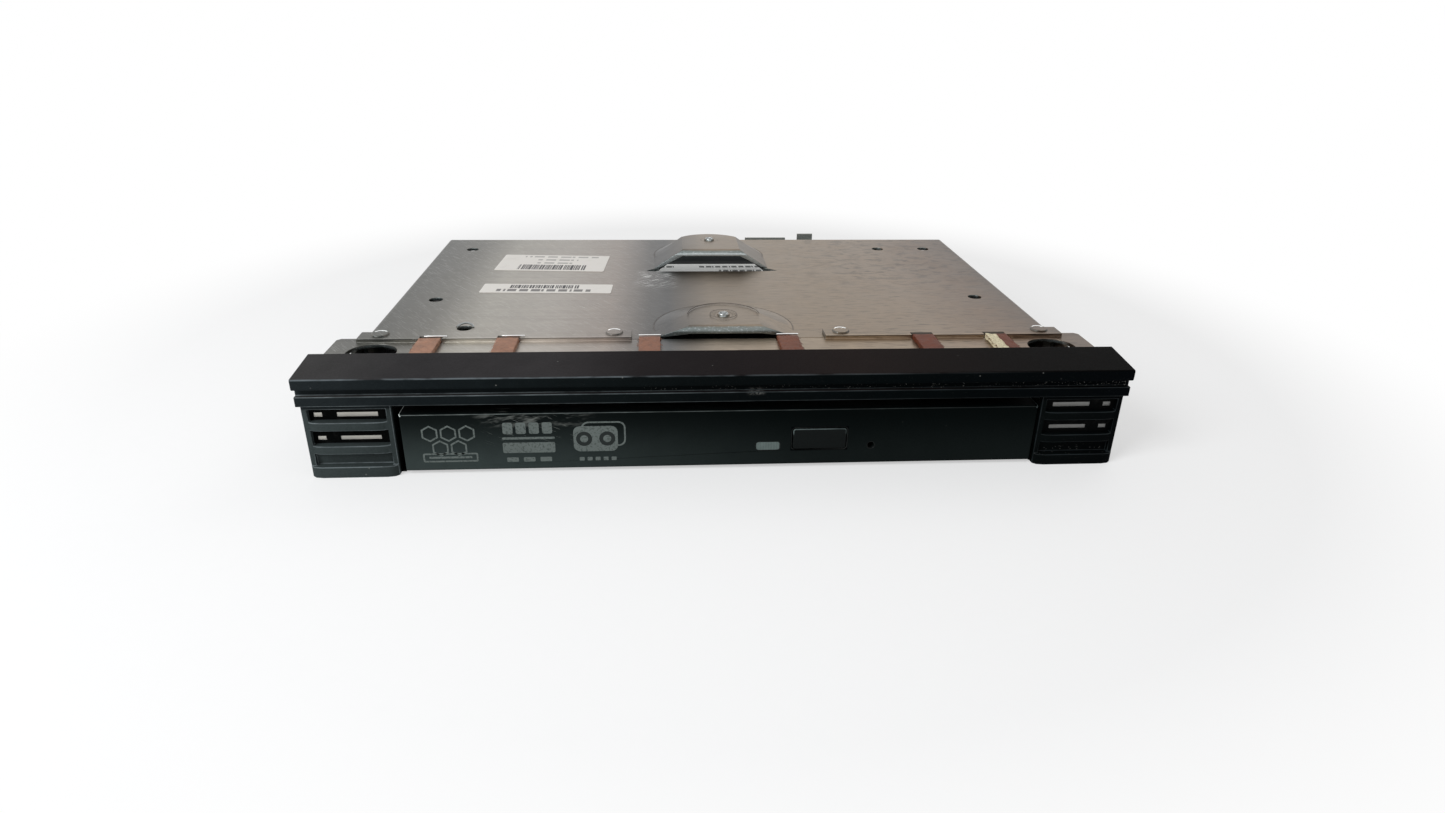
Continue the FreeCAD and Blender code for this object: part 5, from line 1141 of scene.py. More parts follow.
CARRIER = Matrix.Translation((0.0, FRONT, 0.0))
DRIVE = Matrix.Translation((0.3, FRONT, 0.65))
AIM = math.radians(-47.0)
TRAVERSE = Matrix.Translation((0.3, FRONT + 66.0, 0.65)) @ Matrix.Rotation(AIM, 4, "Z")


class Body(str, Enum):
    """The bodies that pieces ride on."""

    CARRIER = "carrier"
    TRAY = "tray"
    BUTTON = "eject_button"
    SPINDLE = "spindle"
    SLED = "sled"
    LENS = "lens"
    SCREW = "lead_screw"
    LATCH = "latch"
    RAIL_LEFT = "rail_left"
    RAIL_RIGHT = "rail_right"


class Plane(str, Enum):
    """The planes that an outline can lie in."""

    LEVEL = "XY"
    UPRIGHT = "XZ"


class Way(Enum):
    """The ways that a turned form can point: the axis and the angle that turn Z there."""

    UP = ("X", 0.0)
    BACK = ("X", -90.0)
    RIGHT = ("Y", 90.0)
    LEFT = ("Y", -90.0)


def aimed(middle: Point, way: Way) -> Matrix:
    """The place of a turned form.

    Args:
        middle: the foot of its axis.
        way: the way that it points.

    Returns:
        The matrix that takes its Z axis there.
    """
    axis, angle = way.value
    return Matrix.Translation(middle) @ Matrix.Rotation(math.radians(angle), 4, axis)


class Shape:
    """A mesh in the making, in millimetres in its own frame."""

    def __init__(self, place: Matrix) -> None:
        """Starts an empty mesh.

        Args:
            place: the frame of its coordinates.
        """
        self.place = place
        self.mesh = bmesh.new()

    def prism(self, points: Sequence[tuple[float, float]], low: float, high: float,
              plane: Plane = Plane.LEVEL) -> "Shape":
        """Adds a straight prism.

        Args:
            points: its outline, in order.
            low: where it starts along the plane's axis.
            high: where it ends.
            plane: the plane of the outline.

        Returns:
            This shape.
        """
        level = plane is Plane.LEVEL
        return self.skin([[self.mesh.verts.new((a, b, reach) if level else (a, reach, b))
                           for a, b in points] for reach in (low, high)])

    def skin(self, rings: Sequence[list[bmesh.types.BMVert]]) -> "Shape":
        """Joins rings of corners with faces, and closes both ends.

        Args:
            rings: the rings, with equal numbers of corners, or with one at a tip.

        Returns:
            This shape.
        """
        sides = max(len(ring) for ring in rings)
        faces = [self.mesh.faces.new(ring) for ring in (rings[0], rings[-1]) if len(ring) > 1]
        for lower, upper in zip(rings, rings[1:]):
            for step in range(sides):
                after = (step + 1) % sides
                corners = dict.fromkeys((lower[step % len(lower)], lower[after % len(lower)],
                                         upper[after % len(upper)], upper[step % len(upper)]))
                if len(corners) > 2:
                    faces.append(self.mesh.faces.new(list(corners)))
        bmesh.ops.recalc_face_normals(self.mesh, faces=faces)
        return self

    def block(self, low: Point, high: Point) -> "Shape":
        """Adds a block between two corners."""
        outline = ((low[0], low[1]), (high[0], low[1]), (high[0], high[1]), (low[0], high[1]))
        return self.prism(outline, low[2], high[2])

    def lathe(self, profile: Sequence[tuple[float, float]], middle: Point,
              way: Way = Way.UP, sides: int = 40) -> "Shape":
        """Adds a turned form.

        Args:
            profile: radius and height pairs, from one end of the axis to the other.
            middle: the foot of its axis.
            way: the way that the axis points.
            sides: the number of steps round.

        Returns:
            This shape.
        """
        place = aimed(middle, way)
        rings = []
        for radius, height in profile:
            if radius < 1e-6:
                rings.append([self.mesh.verts.new(place @ Vector((0.0, 0.0, height)))])
                continue
            rings.append([self.mesh.verts.new(place @ Vector(
                (radius * math.cos(angle), radius * math.sin(angle), height)))
                for angle in (math.tau * step / sides for step in range(sides))])
        return self.skin(rings)

    def tube(self, path: Sequence[Point], radius: float, sides: int = 10) -> "Shape":
        """Adds a round bar along a path.

        Args:
            path: the points of its middle line.
            radius: its radius.
            sides: the number of steps round.

        Returns:
            This shape.
        """
        points = [Vector(point) for point in path]
        rings = []
        up = Vector((0.0, 0.0, 1.0))
        for index, point in enumerate(points):
            ahead = (points[min(index + 1, len(points) - 1)] - points[max(index - 1, 0)])
            ahead.normalize()
            side = ahead.cross(up if abs(ahead.z) < 0.9 else Vector((1.0, 0.0, 0.0)))
            side.normalize()
            over = side.cross(ahead)
            rings.append([self.mesh.verts.new(
                point + side * radius * math.cos(angle) + over * radius * math.sin(angle))
                for angle in (math.tau * step / sides for step in range(sides))])
        return self.skin(rings)

    def crumb(self, middle: Point, long: float, thick: float, dice: random.Random) -> "Shape":
        """Adds an uneven crumb.

        Args:
            middle: its middle.
            long: its length.
            thick: its thickness.
            dice: the source of its unevenness.

        Returns:
            This shape.
        """
        made = bmesh.ops.create_icosphere(self.mesh, subdivisions=1, radius=1.0)
        turn = Matrix.Rotation(dice.uniform(0.0, math.pi), 3, "Y")
        for vertex in made["verts"]:
            reach = Vector((long, thick, thick)) * dice.uniform(0.3, 0.6)
            vertex.co = Vector(middle) + turn @ Vector(
                (vertex.co.x * reach.x, vertex.co.y * reach.y, vertex.co.z * reach.z))
        return self

    def piece(self, name: str, finish: Finish, body: Body, slot: str,
              bevel: float = 0.0, replaces: Iterable[str] = ()) -> bpy.types.Object:
        """Turns the mesh into a piece of the model.

        Args:
            name: the piece's name.
            finish: its finish.
            body: the body that it rides on.
            slot: a material slot's name; not used.
            bevel: the width of its soft edges in millimetres, or zero.
            replaces: the solids that it stands for.

        Returns:
            The piece.
        """
        self.mesh.transform(Matrix.Scale(MM, 4) @ self.place)
        data = bpy.data.meshes.new(name)
        self.mesh.to_mesh(data)
        self.mesh.free()
        made = linked(name, data)
        soften(made, bevel)
        data.materials.append(shared(finish))
        settle(made, body, replaces)
        return made


def linked(name: str, data: bpy.types.ID) -> bpy.types.Object:
    """Adds an object to the scene.

    Args:
        name: its name.
        data: its mesh, light or camera.

    Returns:
        The object.
    """
    made = bpy.data.objects.new(name, data)
    bpy.context.scene.collection.objects.link(made)
    return made


def soften(thing: bpy.types.Object, bevel: float, angle: float = 32.0,
           worn: Finish | None = None) -> None:
    """Shades a piece smooth and rounds its hard edges.

    Args:
        thing: the piece.
        bevel: the width of the rounding in millimetres, or zero for none.
        angle: the sharpest angle that stays smooth, in degrees.
        worn: the finish of the rounded edges, if it differs from the faces.
    """
    data = thing.data
    data.polygons.foreach_set("use_smooth", [True] * len(data.polygons))
    if bevel <= 0.0:
        data.set_sharp_from_angle(angle=math.radians(angle))
        return
    round_off = thing.modifiers.new("soft_edges", "BEVEL")
    round_off.width = bevel * MM
    round_off.segments = 2
    round_off.limit_method = "ANGLE"
    round_off.angle_limit = math.radians(angle)
    round_off.use_clamp_overlap = False
    if worn is not None:
        data.materials.append(shared(worn))
        round_off.material = 1
    level = thing.modifiers.new("flat_faces", "WEIGHTED_NORMAL")
    level.weight = 100


def settle(thing: bpy.types.Object, body: Body, replaces: Iterable[str]) -> None:
    """Puts a piece on its body and hides the solids it stands for.

    Args:
        thing: the piece.
        body: the body that it rides on.
        replaces: the solids that it stands for.
    """
    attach(thing, body.value)
    if replaces:
        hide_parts(*replaces)
    log.info("%s rides on %s", thing.name, body.value)


def softened(node: str, name: str, finish: Finish, body: Body, bevel: float,
             worn: Finish | None = None) -> bpy.types.Object:
    """Copies a solid, merges its flat triangles and rounds its edges.

    Args:
        node: the solid to copy, which the copy replaces.
        name: the copy's name.
        finish: its finish.
        body: the body that it rides on.
        bevel: the width of the rounding in millimetres.
        worn: the finish of the rounded edges, if it differs from the faces.

    Returns:
        The piece.
    """
    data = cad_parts[node].data.copy()
    mesh = bmesh.new()
    mesh.from_mesh(data)
    bmesh.ops.remove_doubles(mesh, verts=mesh.verts, dist=1e-6)
    bmesh.ops.dissolve_limit(mesh, angle_limit=math.radians(0.5), verts=mesh.verts,
                             edges=mesh.edges, delimit=set())
    mesh.to_mesh(data)
    mesh.free()
    for layer in list(data.uv_layers):
        data.uv_layers.remove(layer)
    data.materials.clear()
    data.materials.append(shared(finish))
    made = linked(name, data)
    soften(made, bevel, worn=worn)
    settle(made, body, (node,))
    return made


def paint_node(finish: Finish, *nodes: str) -> None:
    """Gives solids a finish and leaves their shapes alone.

    Args:
        finish: the finish.
        nodes: the solids.
    """
    for node in nodes:
        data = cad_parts[node].data
        data.materials.clear()
        data.materials.append(shared(finish))
        log.info("%s is painted", node)


@cache
def shared(finish: Finish) -> bpy.types.Material:
    """A finish's material, built the first time that it is asked for."""
    return finish.make()


TOP_ZINC = Zinc("zinc_top", ZINC_PAINTED_LIGHT, 1.0, 1.0, shine=0.05)
BRACKET_ZINC = Zinc("zinc_bracket", PLAIN, 0.9, 0.4)
DRIVE_ZINC = Zinc("zinc_drive", PLAIN, 1.05, 0.3, 0.3)
# Painted shade: the drive's tin cover is near black and matt, because it lies in shadow under the
# sheet.
COVER_SHADE_ZINC = Zinc("zinc_cover_painted_shade", ((0.0, (30, 34, 35)), (1.0, (26, 30, 31))), 1.0, 0.3, 0.7,
                  0.0, 0.02)
STAND_ZINC = Zinc("zinc_stand", ((0.0, (124, 122, 116)), (1.0, (112, 110, 104))), 1.3, 0.4, 0.5,
                  0.3, 0.4)
BEZEL_BLACK = BezelPlastic("bezel_black", rough=0.5, grain=0.03, pitch=0.45, shine=0.012)
# Painted highlights on rounded edges, patchy like wear; the panel's edge and its thin line also give
# off light.
BEZEL_EDGE_HIGHLIGHT = WornEdgeHighlight("bezel_edge_highlight")
PANEL_EDGE_HIGHLIGHT = WornEdgeHighlight("panel_edge_highlight", (238, 246, 242), (84, 94, 94), 12.8, 0.16)
PANEL_HIGHLIGHT_LINE = WornEdgeHighlight("panel_highlight_line", (104, 112, 110), (24, 29, 29), 12.8, 0.02)
# Painted highlight: bright steel for the lit rims of the dimples and the cut edges behind the strips.
RIM_HIGHLIGHT_STEEL = Steel("rim_highlight_steel", (236, 238, 238), 0.3)
# Painted shade: the ink finish in dark grey, for the lines along the scoops' folds.
FOLD_SHADE = Ink("fold_shade", (98, 92, 86), (80, 76, 72))
BUTTON_EDGE_HIGHLIGHT = WornEdgeHighlight("button_edge_highlight", (122, 134, 132), (66, 76, 76), 8.0)
PANEL_BLACK = FacePanel("panel_black", (2, 5, 5), (55, 63, 62), 1.0, 0.5, 0.03, 0.35, 0.2, 0.015)
BUTTON_BLACK = Moulding("button_black", (10, 14, 14), (22, 27, 26), 0.6, 0.4, 0.01, 0.4, 0.1, 0.08)
TRAY_BLACK = Moulding("tray_black", (26, 27, 28), (44, 45, 46), 0.5, 0.45, 0.02, 0.5, 0.05)
SOCKET_BLACK = Moulding("socket_black", (20, 20, 21), (40, 40, 41), 0.4, 0.4, 0.015, 0.6, 0.1)
HUB_BLACK = Moulding("hub_black", (52, 52, 53), (70, 70, 70), 0.4, 0.35, 0.01, 0.4, 0.05)
SLED_GREY = Moulding("sled_grey", (58, 59, 62), (76, 77, 80), 0.4, 0.4, 0.015, 0.5, 0.05)
PALE_PLASTIC = Moulding("pale_plastic", (196, 194, 186), (206, 204, 198), 0.5, 0.4, 0.01, 0.6, 0.03)
SCREW_STEEL = Steel("screw_steel", (150, 150, 152), 0.3)
BRIGHT_STEEL = Steel("bright_steel", (196, 196, 196), 0.18, (1.0, 40.0, 1.0))
ROD_STEEL = Steel("rod_steel", (205, 205, 206), 0.12, (40.0, 40.0, 1.0), 0.05)
MOTOR_STEEL = Steel("motor_steel", (168, 168, 170), 0.32, (6.0, 6.0, 1.0))
NUB_STEEL = Steel("nub_steel", (150, 153, 153), 0.22, stain=0.5)
GOLD_PINS = Steel("gold_pins", (206, 170, 96), 0.25, (1.0, 1.0, 6.0), 0.1)
COVER_TIN = Steel("cover_tin", (186, 187, 189), 0.36, (30.0, 1.0, 1.0), 0.08)
# Painted shade: near black for the sheets put behind the vents and in the gaps beside the drive.
SHADOW_BLACK = Rubber("recess_shadow_black", (3, 4, 4), 0.08, 0.05)
# Painted light: the bright sheet behind the vent slits is paler on the left than on the right.
VENT_PAINTED_LIGHT_ZINC = Zinc("vent_zinc_painted_light", ((0.0, (198, 194, 186)), (1.0, (126, 124, 122))), 1.0, 0.2, 0.45)
BLACK_RUBBER = Rubber("black_rubber")
GREEN_BOARD = Board("green_board")


@dataclass
class Bezel:
    """The moulded bezel: end blocks, slats and hood, with soft edges and dirt in its groove, and dark
    sheets of painted shade behind its vents and beside the drive.
    """

    edge: float = 0.16
    groove_high: tuple[float, float] = (17.75, 19.15)
    groove_out: float = 0.2
    half: float = 81.4
    crumbs: int = 380
    gap_high: tuple[float, float] = (0.35, 14.3)
    gap_front: float = 0.8
    gap_back: float = 14.0
    rib_thick: float = 0.15
    rib_high: float = 0.3
    gap_sides: tuple[tuple[float, float], ...] = ((-64.85, -63.85), (64.85, 64.45))
    block_half: float = 81.8
    block_inner: float = 65.6
    lining_out: tuple[float, float] = (1.18, 1.24)
    lining_inset: float = 1.0
    slits: tuple[float, ...] = (14.0, 6.2, 3.4, 1.8)
    vents: tuple[tuple[float, float, float, float], ...] = ((11.9, 14.5, 12.5, 0.95),
                                                            (6.8, 10.1, 7.5, 0.85))

    def build(self) -> None:
        """Builds the bezel, its dirt and its painted shade."""
        softened("front_bezel", "bezel", BEZEL_BLACK, Body.CARRIER,
                 self.edge, BEZEL_EDGE_HIGHLIGHT)
        self.dirt()
        self.lining()
        self.gaps()

    def gaps(self) -> None:
        """Painted shade: thin dark ribs that close the gaps beside the drive, behind the end blocks'
        fronts.
        """
        ribs = Shape(CARRIER)
        low, high = self.gap_high
        for outer, inner in self.gap_sides:
            side = math.copysign(1.0, outer)
            turn = outer - side * self.rib_thick
            for start, end, top in ((outer, turn, high), (turn, inner, low + self.rib_high)):
                a, b = sorted((start, end))
                ribs.block((a, self.gap_front, low), (b, self.gap_back, top))
        ribs.piece("gap_shade_ribs", SHADOW_BLACK, Body.CARRIER, "black_plastic")

    def lining(self) -> None:
        """Painted shade: the thin dark lining behind the slats, with the slits that show bright
        sheet.
        """
        dark = Shape(CARRIER)
        bright = Shape(CARRIER)
        front, rear = self.lining_out
        for side in (-1.0, 1.0):
            for low, high, slit, tall in self.vents:
                edges = [self.block_half - inset for inset in self.slits]
                lows = [self.block_inner] + edges[1::2]
                highs = edges[0::2] + [self.block_half - self.lining_inset]
                for start, end in zip(lows, highs):
                    a, b = sorted((side * start, side * end))
                    dark.block((a, front, slit), (b, rear, slit + tall))
                a, b = sorted((side * self.block_inner,
                               side * (self.block_half - self.lining_inset)))
                dark.block((a, front, low), (b, rear, slit))
                dark.block((a, front, slit + tall), (b, rear, high))
                bright.block((a + 0.3, rear + 0.05, slit - 0.2),
                             (b - 0.3, rear + 0.3, slit + tall + 0.2))
        dark.piece("vent_shade_lining", SHADOW_BLACK, Body.CARRIER, "black_plastic")
        bright.piece("vent_backing", VENT_PAINTED_LIGHT_ZINC, Body.CARRIER, "galvanised")

    def dirt(self) -> None:
        """Crumbs and lint in the groove between the lips, most of them on the right."""
        dice = random.Random(7)
        crumbs = Shape(CARRIER)
        for _ in range(self.crumbs):
            across = self.half * (1.0 - 1.2 * dice.random() ** 1.5)
            size = dice.uniform(0.06, 0.2) * dice.uniform(0.5, 1.0)
            high = dice.uniform(*self.groove_high)
            out = -self.groove_out - dice.uniform(0.0, size * 0.4)
            crumbs.crumb((across, out, high), size * dice.uniform(0.8, 2.4), size, dice)
        crumbs.piece("groove_dust", Rubber("dust", (104, 104, 100)), Body.CARRIER, "black_plastic")


@dataclass
class SheetCarrier:
    """The folded carrier: top, flange, brackets, pressed marks and the lip at the tab hole."""

    edge: float = 0.07
    top: float = 20.6
    nub_spots: tuple[tuple[float, float], ...] = ((29.7, 23.1), (88.3, 25.6))
    nub_foot: float = 0.32
    nub_profile: tuple[tuple[float, float], ...] = (
        (1.15, 0.0), (1.1, 0.14), (0.95, 0.26), (0.78, 0.28), (0.68, 0.0), (0.52, 0.0),
        (0.42, 0.3), (0.22, 0.38), (0.0, 0.4))
    dimple_spots: tuple[float, ...] = (-72.2, -22.6, 27.2, 72.2)
    dimple_back: float = 23.3
    dimple_radius: float = 1.45
    dimple_high: float = 1.1
    slot_spots: tuple[tuple[float, float], ...] = ((-60.2, 1.2), (-43.9, 1.2), (-14.9, 1.1),
                                                   (15.0, 1.1))
    slot_half: float = 2.4
    slot_backs: tuple[float, float] = (20.9, 21.3)
    crescent: Point = (-55.8, 29.2, 20.6)
    crescent_half: float = 1.9
    crescent_high: float = 0.55
    fold_arcs: tuple[tuple[float, float, float, float, float, float], ...] = (
        (29.3, 8.1, 4.0, 176.0, 23.4, 0.09), (29.2, 15.7, -12.0, 192.0, 20.6, 0.08),
        (90.95, 15.65, -14.0, 194.0, 20.6, 0.08), (29.7, 3.0, 0.0, 360.0, 23.4, 0.05))

    def build(self) -> None:
        """Builds the sheets and their small marks."""
        softened("carrier_plate", "carrier_top", TOP_ZINC, Body.CARRIER, self.edge)
        softened("front_flange", "flange", TOP_ZINC, Body.CARRIER, self.edge)
        for side in ("left", "right"):
            softened(f"side_bracket_{side}", f"bracket_{side}", BRACKET_ZINC, Body.CARRIER,
                     self.edge)
        paint_node(SCREW_STEEL, "bracket_rivets")
        self.lip()
        self.nubs()
        self.dimples()
        self.slot_lip_highlights()
        self.folds()

    def folds(self) -> None:
        """Painted shade: fine dark lines where the scoops rise, and the ring about the front nub."""
        lines = Shape(CARRIER)
        for middle, radius, start, end, high, thick in self.fold_arcs:
            steps = 48
            path = []
            for step in range(steps + 1):
                angle = math.radians(start + (end - start) * step / steps)
                path.append((SCOOP_MIDDLE + radius * math.cos(angle),
                             middle + radius * math.sin(angle), high))
            lines.tube(path, thick, 6)
        lines.piece("fold_shade_lines", FOLD_SHADE, Body.CARRIER, "galvanised")

    def nubs(self) -> None:
        """The bright pressed heads on the scoops, each with a groove round its middle."""
        nubs = Shape(CARRIER)
        for back, high in self.nub_spots:
            nubs.lathe(self.nub_profile, (SCOOP_MIDDLE, back, high + self.nub_foot))
        nubs.piece("scoop_nubs", NUB_STEEL, Body.CARRIER, "galvanised")

    def dimples(self) -> None:
        """Painted highlights along the rear rims of the clinched dimples."""
        rims = Shape(CARRIER)
        angles = [math.pi * (0.15 + 0.05 * step) for step in range(15)]
        for across in self.dimple_spots:
            rims.tube([(across + self.dimple_radius * math.cos(angle),
                        self.dimple_back + self.dimple_radius * math.sin(angle),
                        self.top + self.dimple_high) for angle in angles], 0.15)
        rims.piece("dimple_rim_highlights", RIM_HIGHLIGHT_STEEL, Body.CARRIER, "galvanised")

    def slot_lip_highlights(self) -> None:
        """Painted highlights along the cut edges of the sheet behind the four left strips."""
        lips = Shape(CARRIER)
        near, far = self.slot_backs
        for across, high in self.slot_spots:
            lips.block((across - self.slot_half, near, self.top + high - 0.3),
                       (across + self.slot_half, far, self.top + high))
        lips.piece("slot_lip_highlights", RIM_HIGHLIGHT_STEEL, Body.CARRIER, "galvanised", 0.06)

    def lip(self) -> None:
        """The curled lip at the front edge of the tab hole."""
        middle = Vector(self.crescent)
        steps = 14
        path = []
        for step in range(steps + 1):
            angle = math.radians(10.0 + 150.0 * step / steps)
            rise = math.sin(math.pi * step / steps)
            path.append(middle + Vector((self.crescent_half * math.cos(angle),
                                         self.crescent_half * math.sin(angle),
                                         0.02 + self.crescent_high * rise)))
        Shape(CARRIER).tube(path, 0.24).piece("tab_hole_lip", NUB_STEEL, Body.CARRIER,
                                              "galvanised")


@dataclass
class Gaskets:
    """The six strips of conductive cloth, the last one torn down to its foam."""

    middles: tuple[float, ...] = (-61.2, -44.9, -14.9, 14.9, 44.9, 61.2)
    wide: float = 4.5
    front: float = 9.6
    back: float = 20.5
    top: float = 21.6
    frayed: int = 16
    torn: int = 30
    thread: float = 0.035
    cloth: Weave = Weave("copper_cloth")

    def build(self) -> None:
        """Builds the strips, their loose threads and the foam."""
        for count, middle in enumerate(self.middles, start=1):
            strip = softened(f"gasket_{count}", f"cloth_{count}", self.cloth, Body.CARRIER,
                             0.0)
            rumple(strip, 0.5, 0.09, count)
            self.threads(count, middle)
        foam = softened("gasket_foam", "foam", Foam("cream_foam"), Body.CARRIER, 0.0)
        rumple(foam, 0.35, 0.3, 17)

    def threads(self, count: int, middle: float) -> None:
        """Frayed threads along both long edges of a strip.

        Args:
            count: the strip's number, from the left.
            middle: its place across.
        """
        dice = random.Random(40 + count)
        loose = Shape(CARRIER)
        for side in (-1.0, 1.0):
            for _ in range(self.frayed if count < len(self.middles) else self.torn):
                start = Vector((middle + side * self.wide * 0.48,
                                dice.uniform(self.front, self.back - 0.3), self.top - 0.06))
                lean = Vector((side * dice.uniform(0.15, 0.6), dice.uniform(-0.3, 0.3),
                               dice.uniform(-0.25, 0.05)))
                loose.tube((start, start + lean * 0.6, start + lean + Vector((0, 0, -0.1))),
                           self.thread, 5)
        loose.piece(f"threads_{count}", self.cloth, Body.CARRIER, "gasket_copper")


def rumple(thing: bpy.types.Object, step: float, depth: float, seed: int) -> None:
    """Cuts a piece into small faces and makes it gently uneven.

    Args:
        thing: the piece.
        step: about the size of the new faces, in millimetres.
        depth: how far the surface moves at most, in millimetres.
        seed: tells two pieces apart.
    """
    mesh = bmesh.new()
    mesh.from_mesh(thing.data)
    bmesh.ops.triangulate(mesh, faces=mesh.faces)
    for _ in range(6):
        long = [edge for edge in mesh.edges if edge.calc_length() > step * MM * 1.5]
        if not long:
            break
        bmesh.ops.subdivide_edges(mesh, edges=long, cuts=1, use_grid_fill=True)
        bmesh.ops.triangulate(mesh, faces=[face for face in mesh.faces if len(face.verts) > 3])
    for vertex in mesh.verts:
        spot = vertex.co / MM
        push = noise.noise_vector(spot * 0.9 + Vector((seed * 7.3, 0.0, 0.0)))
        fine = noise.noise_vector(spot * 2.7 + Vector((0.0, seed * 3.1, 0.0)))
        vertex.co += (push * 0.7 + fine * 0.3) * depth * MM
    mesh.to_mesh(thing.data)
    mesh.free()
    thing.data.set_sharp_from_angle(angle=math.radians(60.0))


@dataclass
class Labels:
    """Two paper labels on the carrier and one on the drive, with generic print."""

    rating: Paper = Paper("rating_label_paper", (-57.0, FRONT + 75.5, 0.0), -3.6, 29.4, 15.7)
    serial: Paper = Paper("serial_label_paper", (-57.4, FRONT + 55.4, 0.0), -2.2, 32.6, 7.3,
                          Print.NARROW)
    # The case label carries a field of painted shade and painted emission.
    case: Paper = Paper("drive_label_paper", (-31.7, FRONT + 60.0, 0.0), 0.0, 83.0, 50.0,
                        Print.CASE, (244, 246, 244), (40, 44, 44), 0.02, 0.3)

    def build(self) -> None:
        """Paints the three labels."""
        paint_node(self.rating, "rating_label")
        paint_node(self.serial, "serial_label")
        paint_node(self.case, "drive_label")


@dataclass(frozen=True)
class CrossHead:
    """A screw's domed head with a cross recess."""

    radius: float = 1.9
    high: float = 0.62
    arm: float = 0.26
    reach: float = 0.55
    deep: float = 0.4
    rings: int = 11
    sides: int = 48

    def add(self, shape: Shape, middle: Point, way: Way) -> None:
        """Adds the head to a shape.

        Args:
            shape: the shape that gains it.
            middle: the foot of its axis.
            way: the way that it points.
        """
        place = aimed(middle, way)
        corner, face = shape.mesh.verts.new, shape.mesh.faces.new
        top = corner(place @ Vector((0.0, 0.0, self.high - self.deep)))
        turns = [math.tau * side / self.sides for side in range(self.sides)]
        grid = []
        for ring in range(1, self.rings + 1):
            share = ring / self.rings
            rise = self.high * math.sqrt(1.0 - share ** 4 * 0.8)
            row = []
            for angle in turns:
                x, y = (self.radius * share * part(angle) for part in (math.cos, math.sin))
                inside = min(abs(x), abs(y)) < self.arm and share < self.reach
                row.append(corner(place @ Vector((x, y, rise - (self.deep if inside else 0.0)))))
            grid.append(row)
        grid.append([corner(place @ Vector((self.radius * math.cos(angle),
                                            self.radius * math.sin(angle), 0.0)))
                     for angle in turns])
        for side in range(self.sides):
            after = (side + 1) % self.sides
            face((top, grid[0][side], grid[0][after]))
            for inner, outer in zip(grid, grid[1:]):
                face((inner[side], outer[side], outer[after], inner[after]))


@dataclass
class DriveCase:
    """The drive's two tin shells, its screws, guides and rails."""

    edge: float = 0.06
    side_out: tuple[float, float] = (-64.15, 64.15)
    screw_backs: tuple[float, float] = (20.0, 116.0)
    screw_high: float = 10.4
    head: CrossHead = CrossHead(radius=1.15, high=0.3, arm=0.18, reach=0.6, deep=0.2)

    def build(self) -> None:
        """Builds the shells, then the screws' heads."""
        softened("drive_base", "case_base", DRIVE_ZINC, Body.CARRIER, self.edge)
        softened("drive_cover", "case_cover", COVER_SHADE_ZINC, Body.CARRIER, self.edge)
        paint_node(SCREW_STEEL, "cover_screws", "drive_screws", "tray_screws")
        paint_node(PALE_PLASTIC, "guide_left", "guide_right")
        softened("rail_left", "runner_left", BRIGHT_STEEL, Body.RAIL_LEFT, 0.05)
        softened("rail_right", "runner_right", BRIGHT_STEEL, Body.RAIL_RIGHT, 0.05)
        self.heads()

    def heads(self) -> None:
        """The cross recesses of the screws along the drive's sides."""
        heads = Shape(DRIVE)
        for across, way in zip(self.side_out, (Way.LEFT, Way.RIGHT)):
            for back in self.screw_backs:
                self.head.add(heads, (across * 1.001, back, self.screw_high), way)
        heads.piece("cover_screw_heads", SCREW_STEEL, Body.CARRIER, "screw_steel")


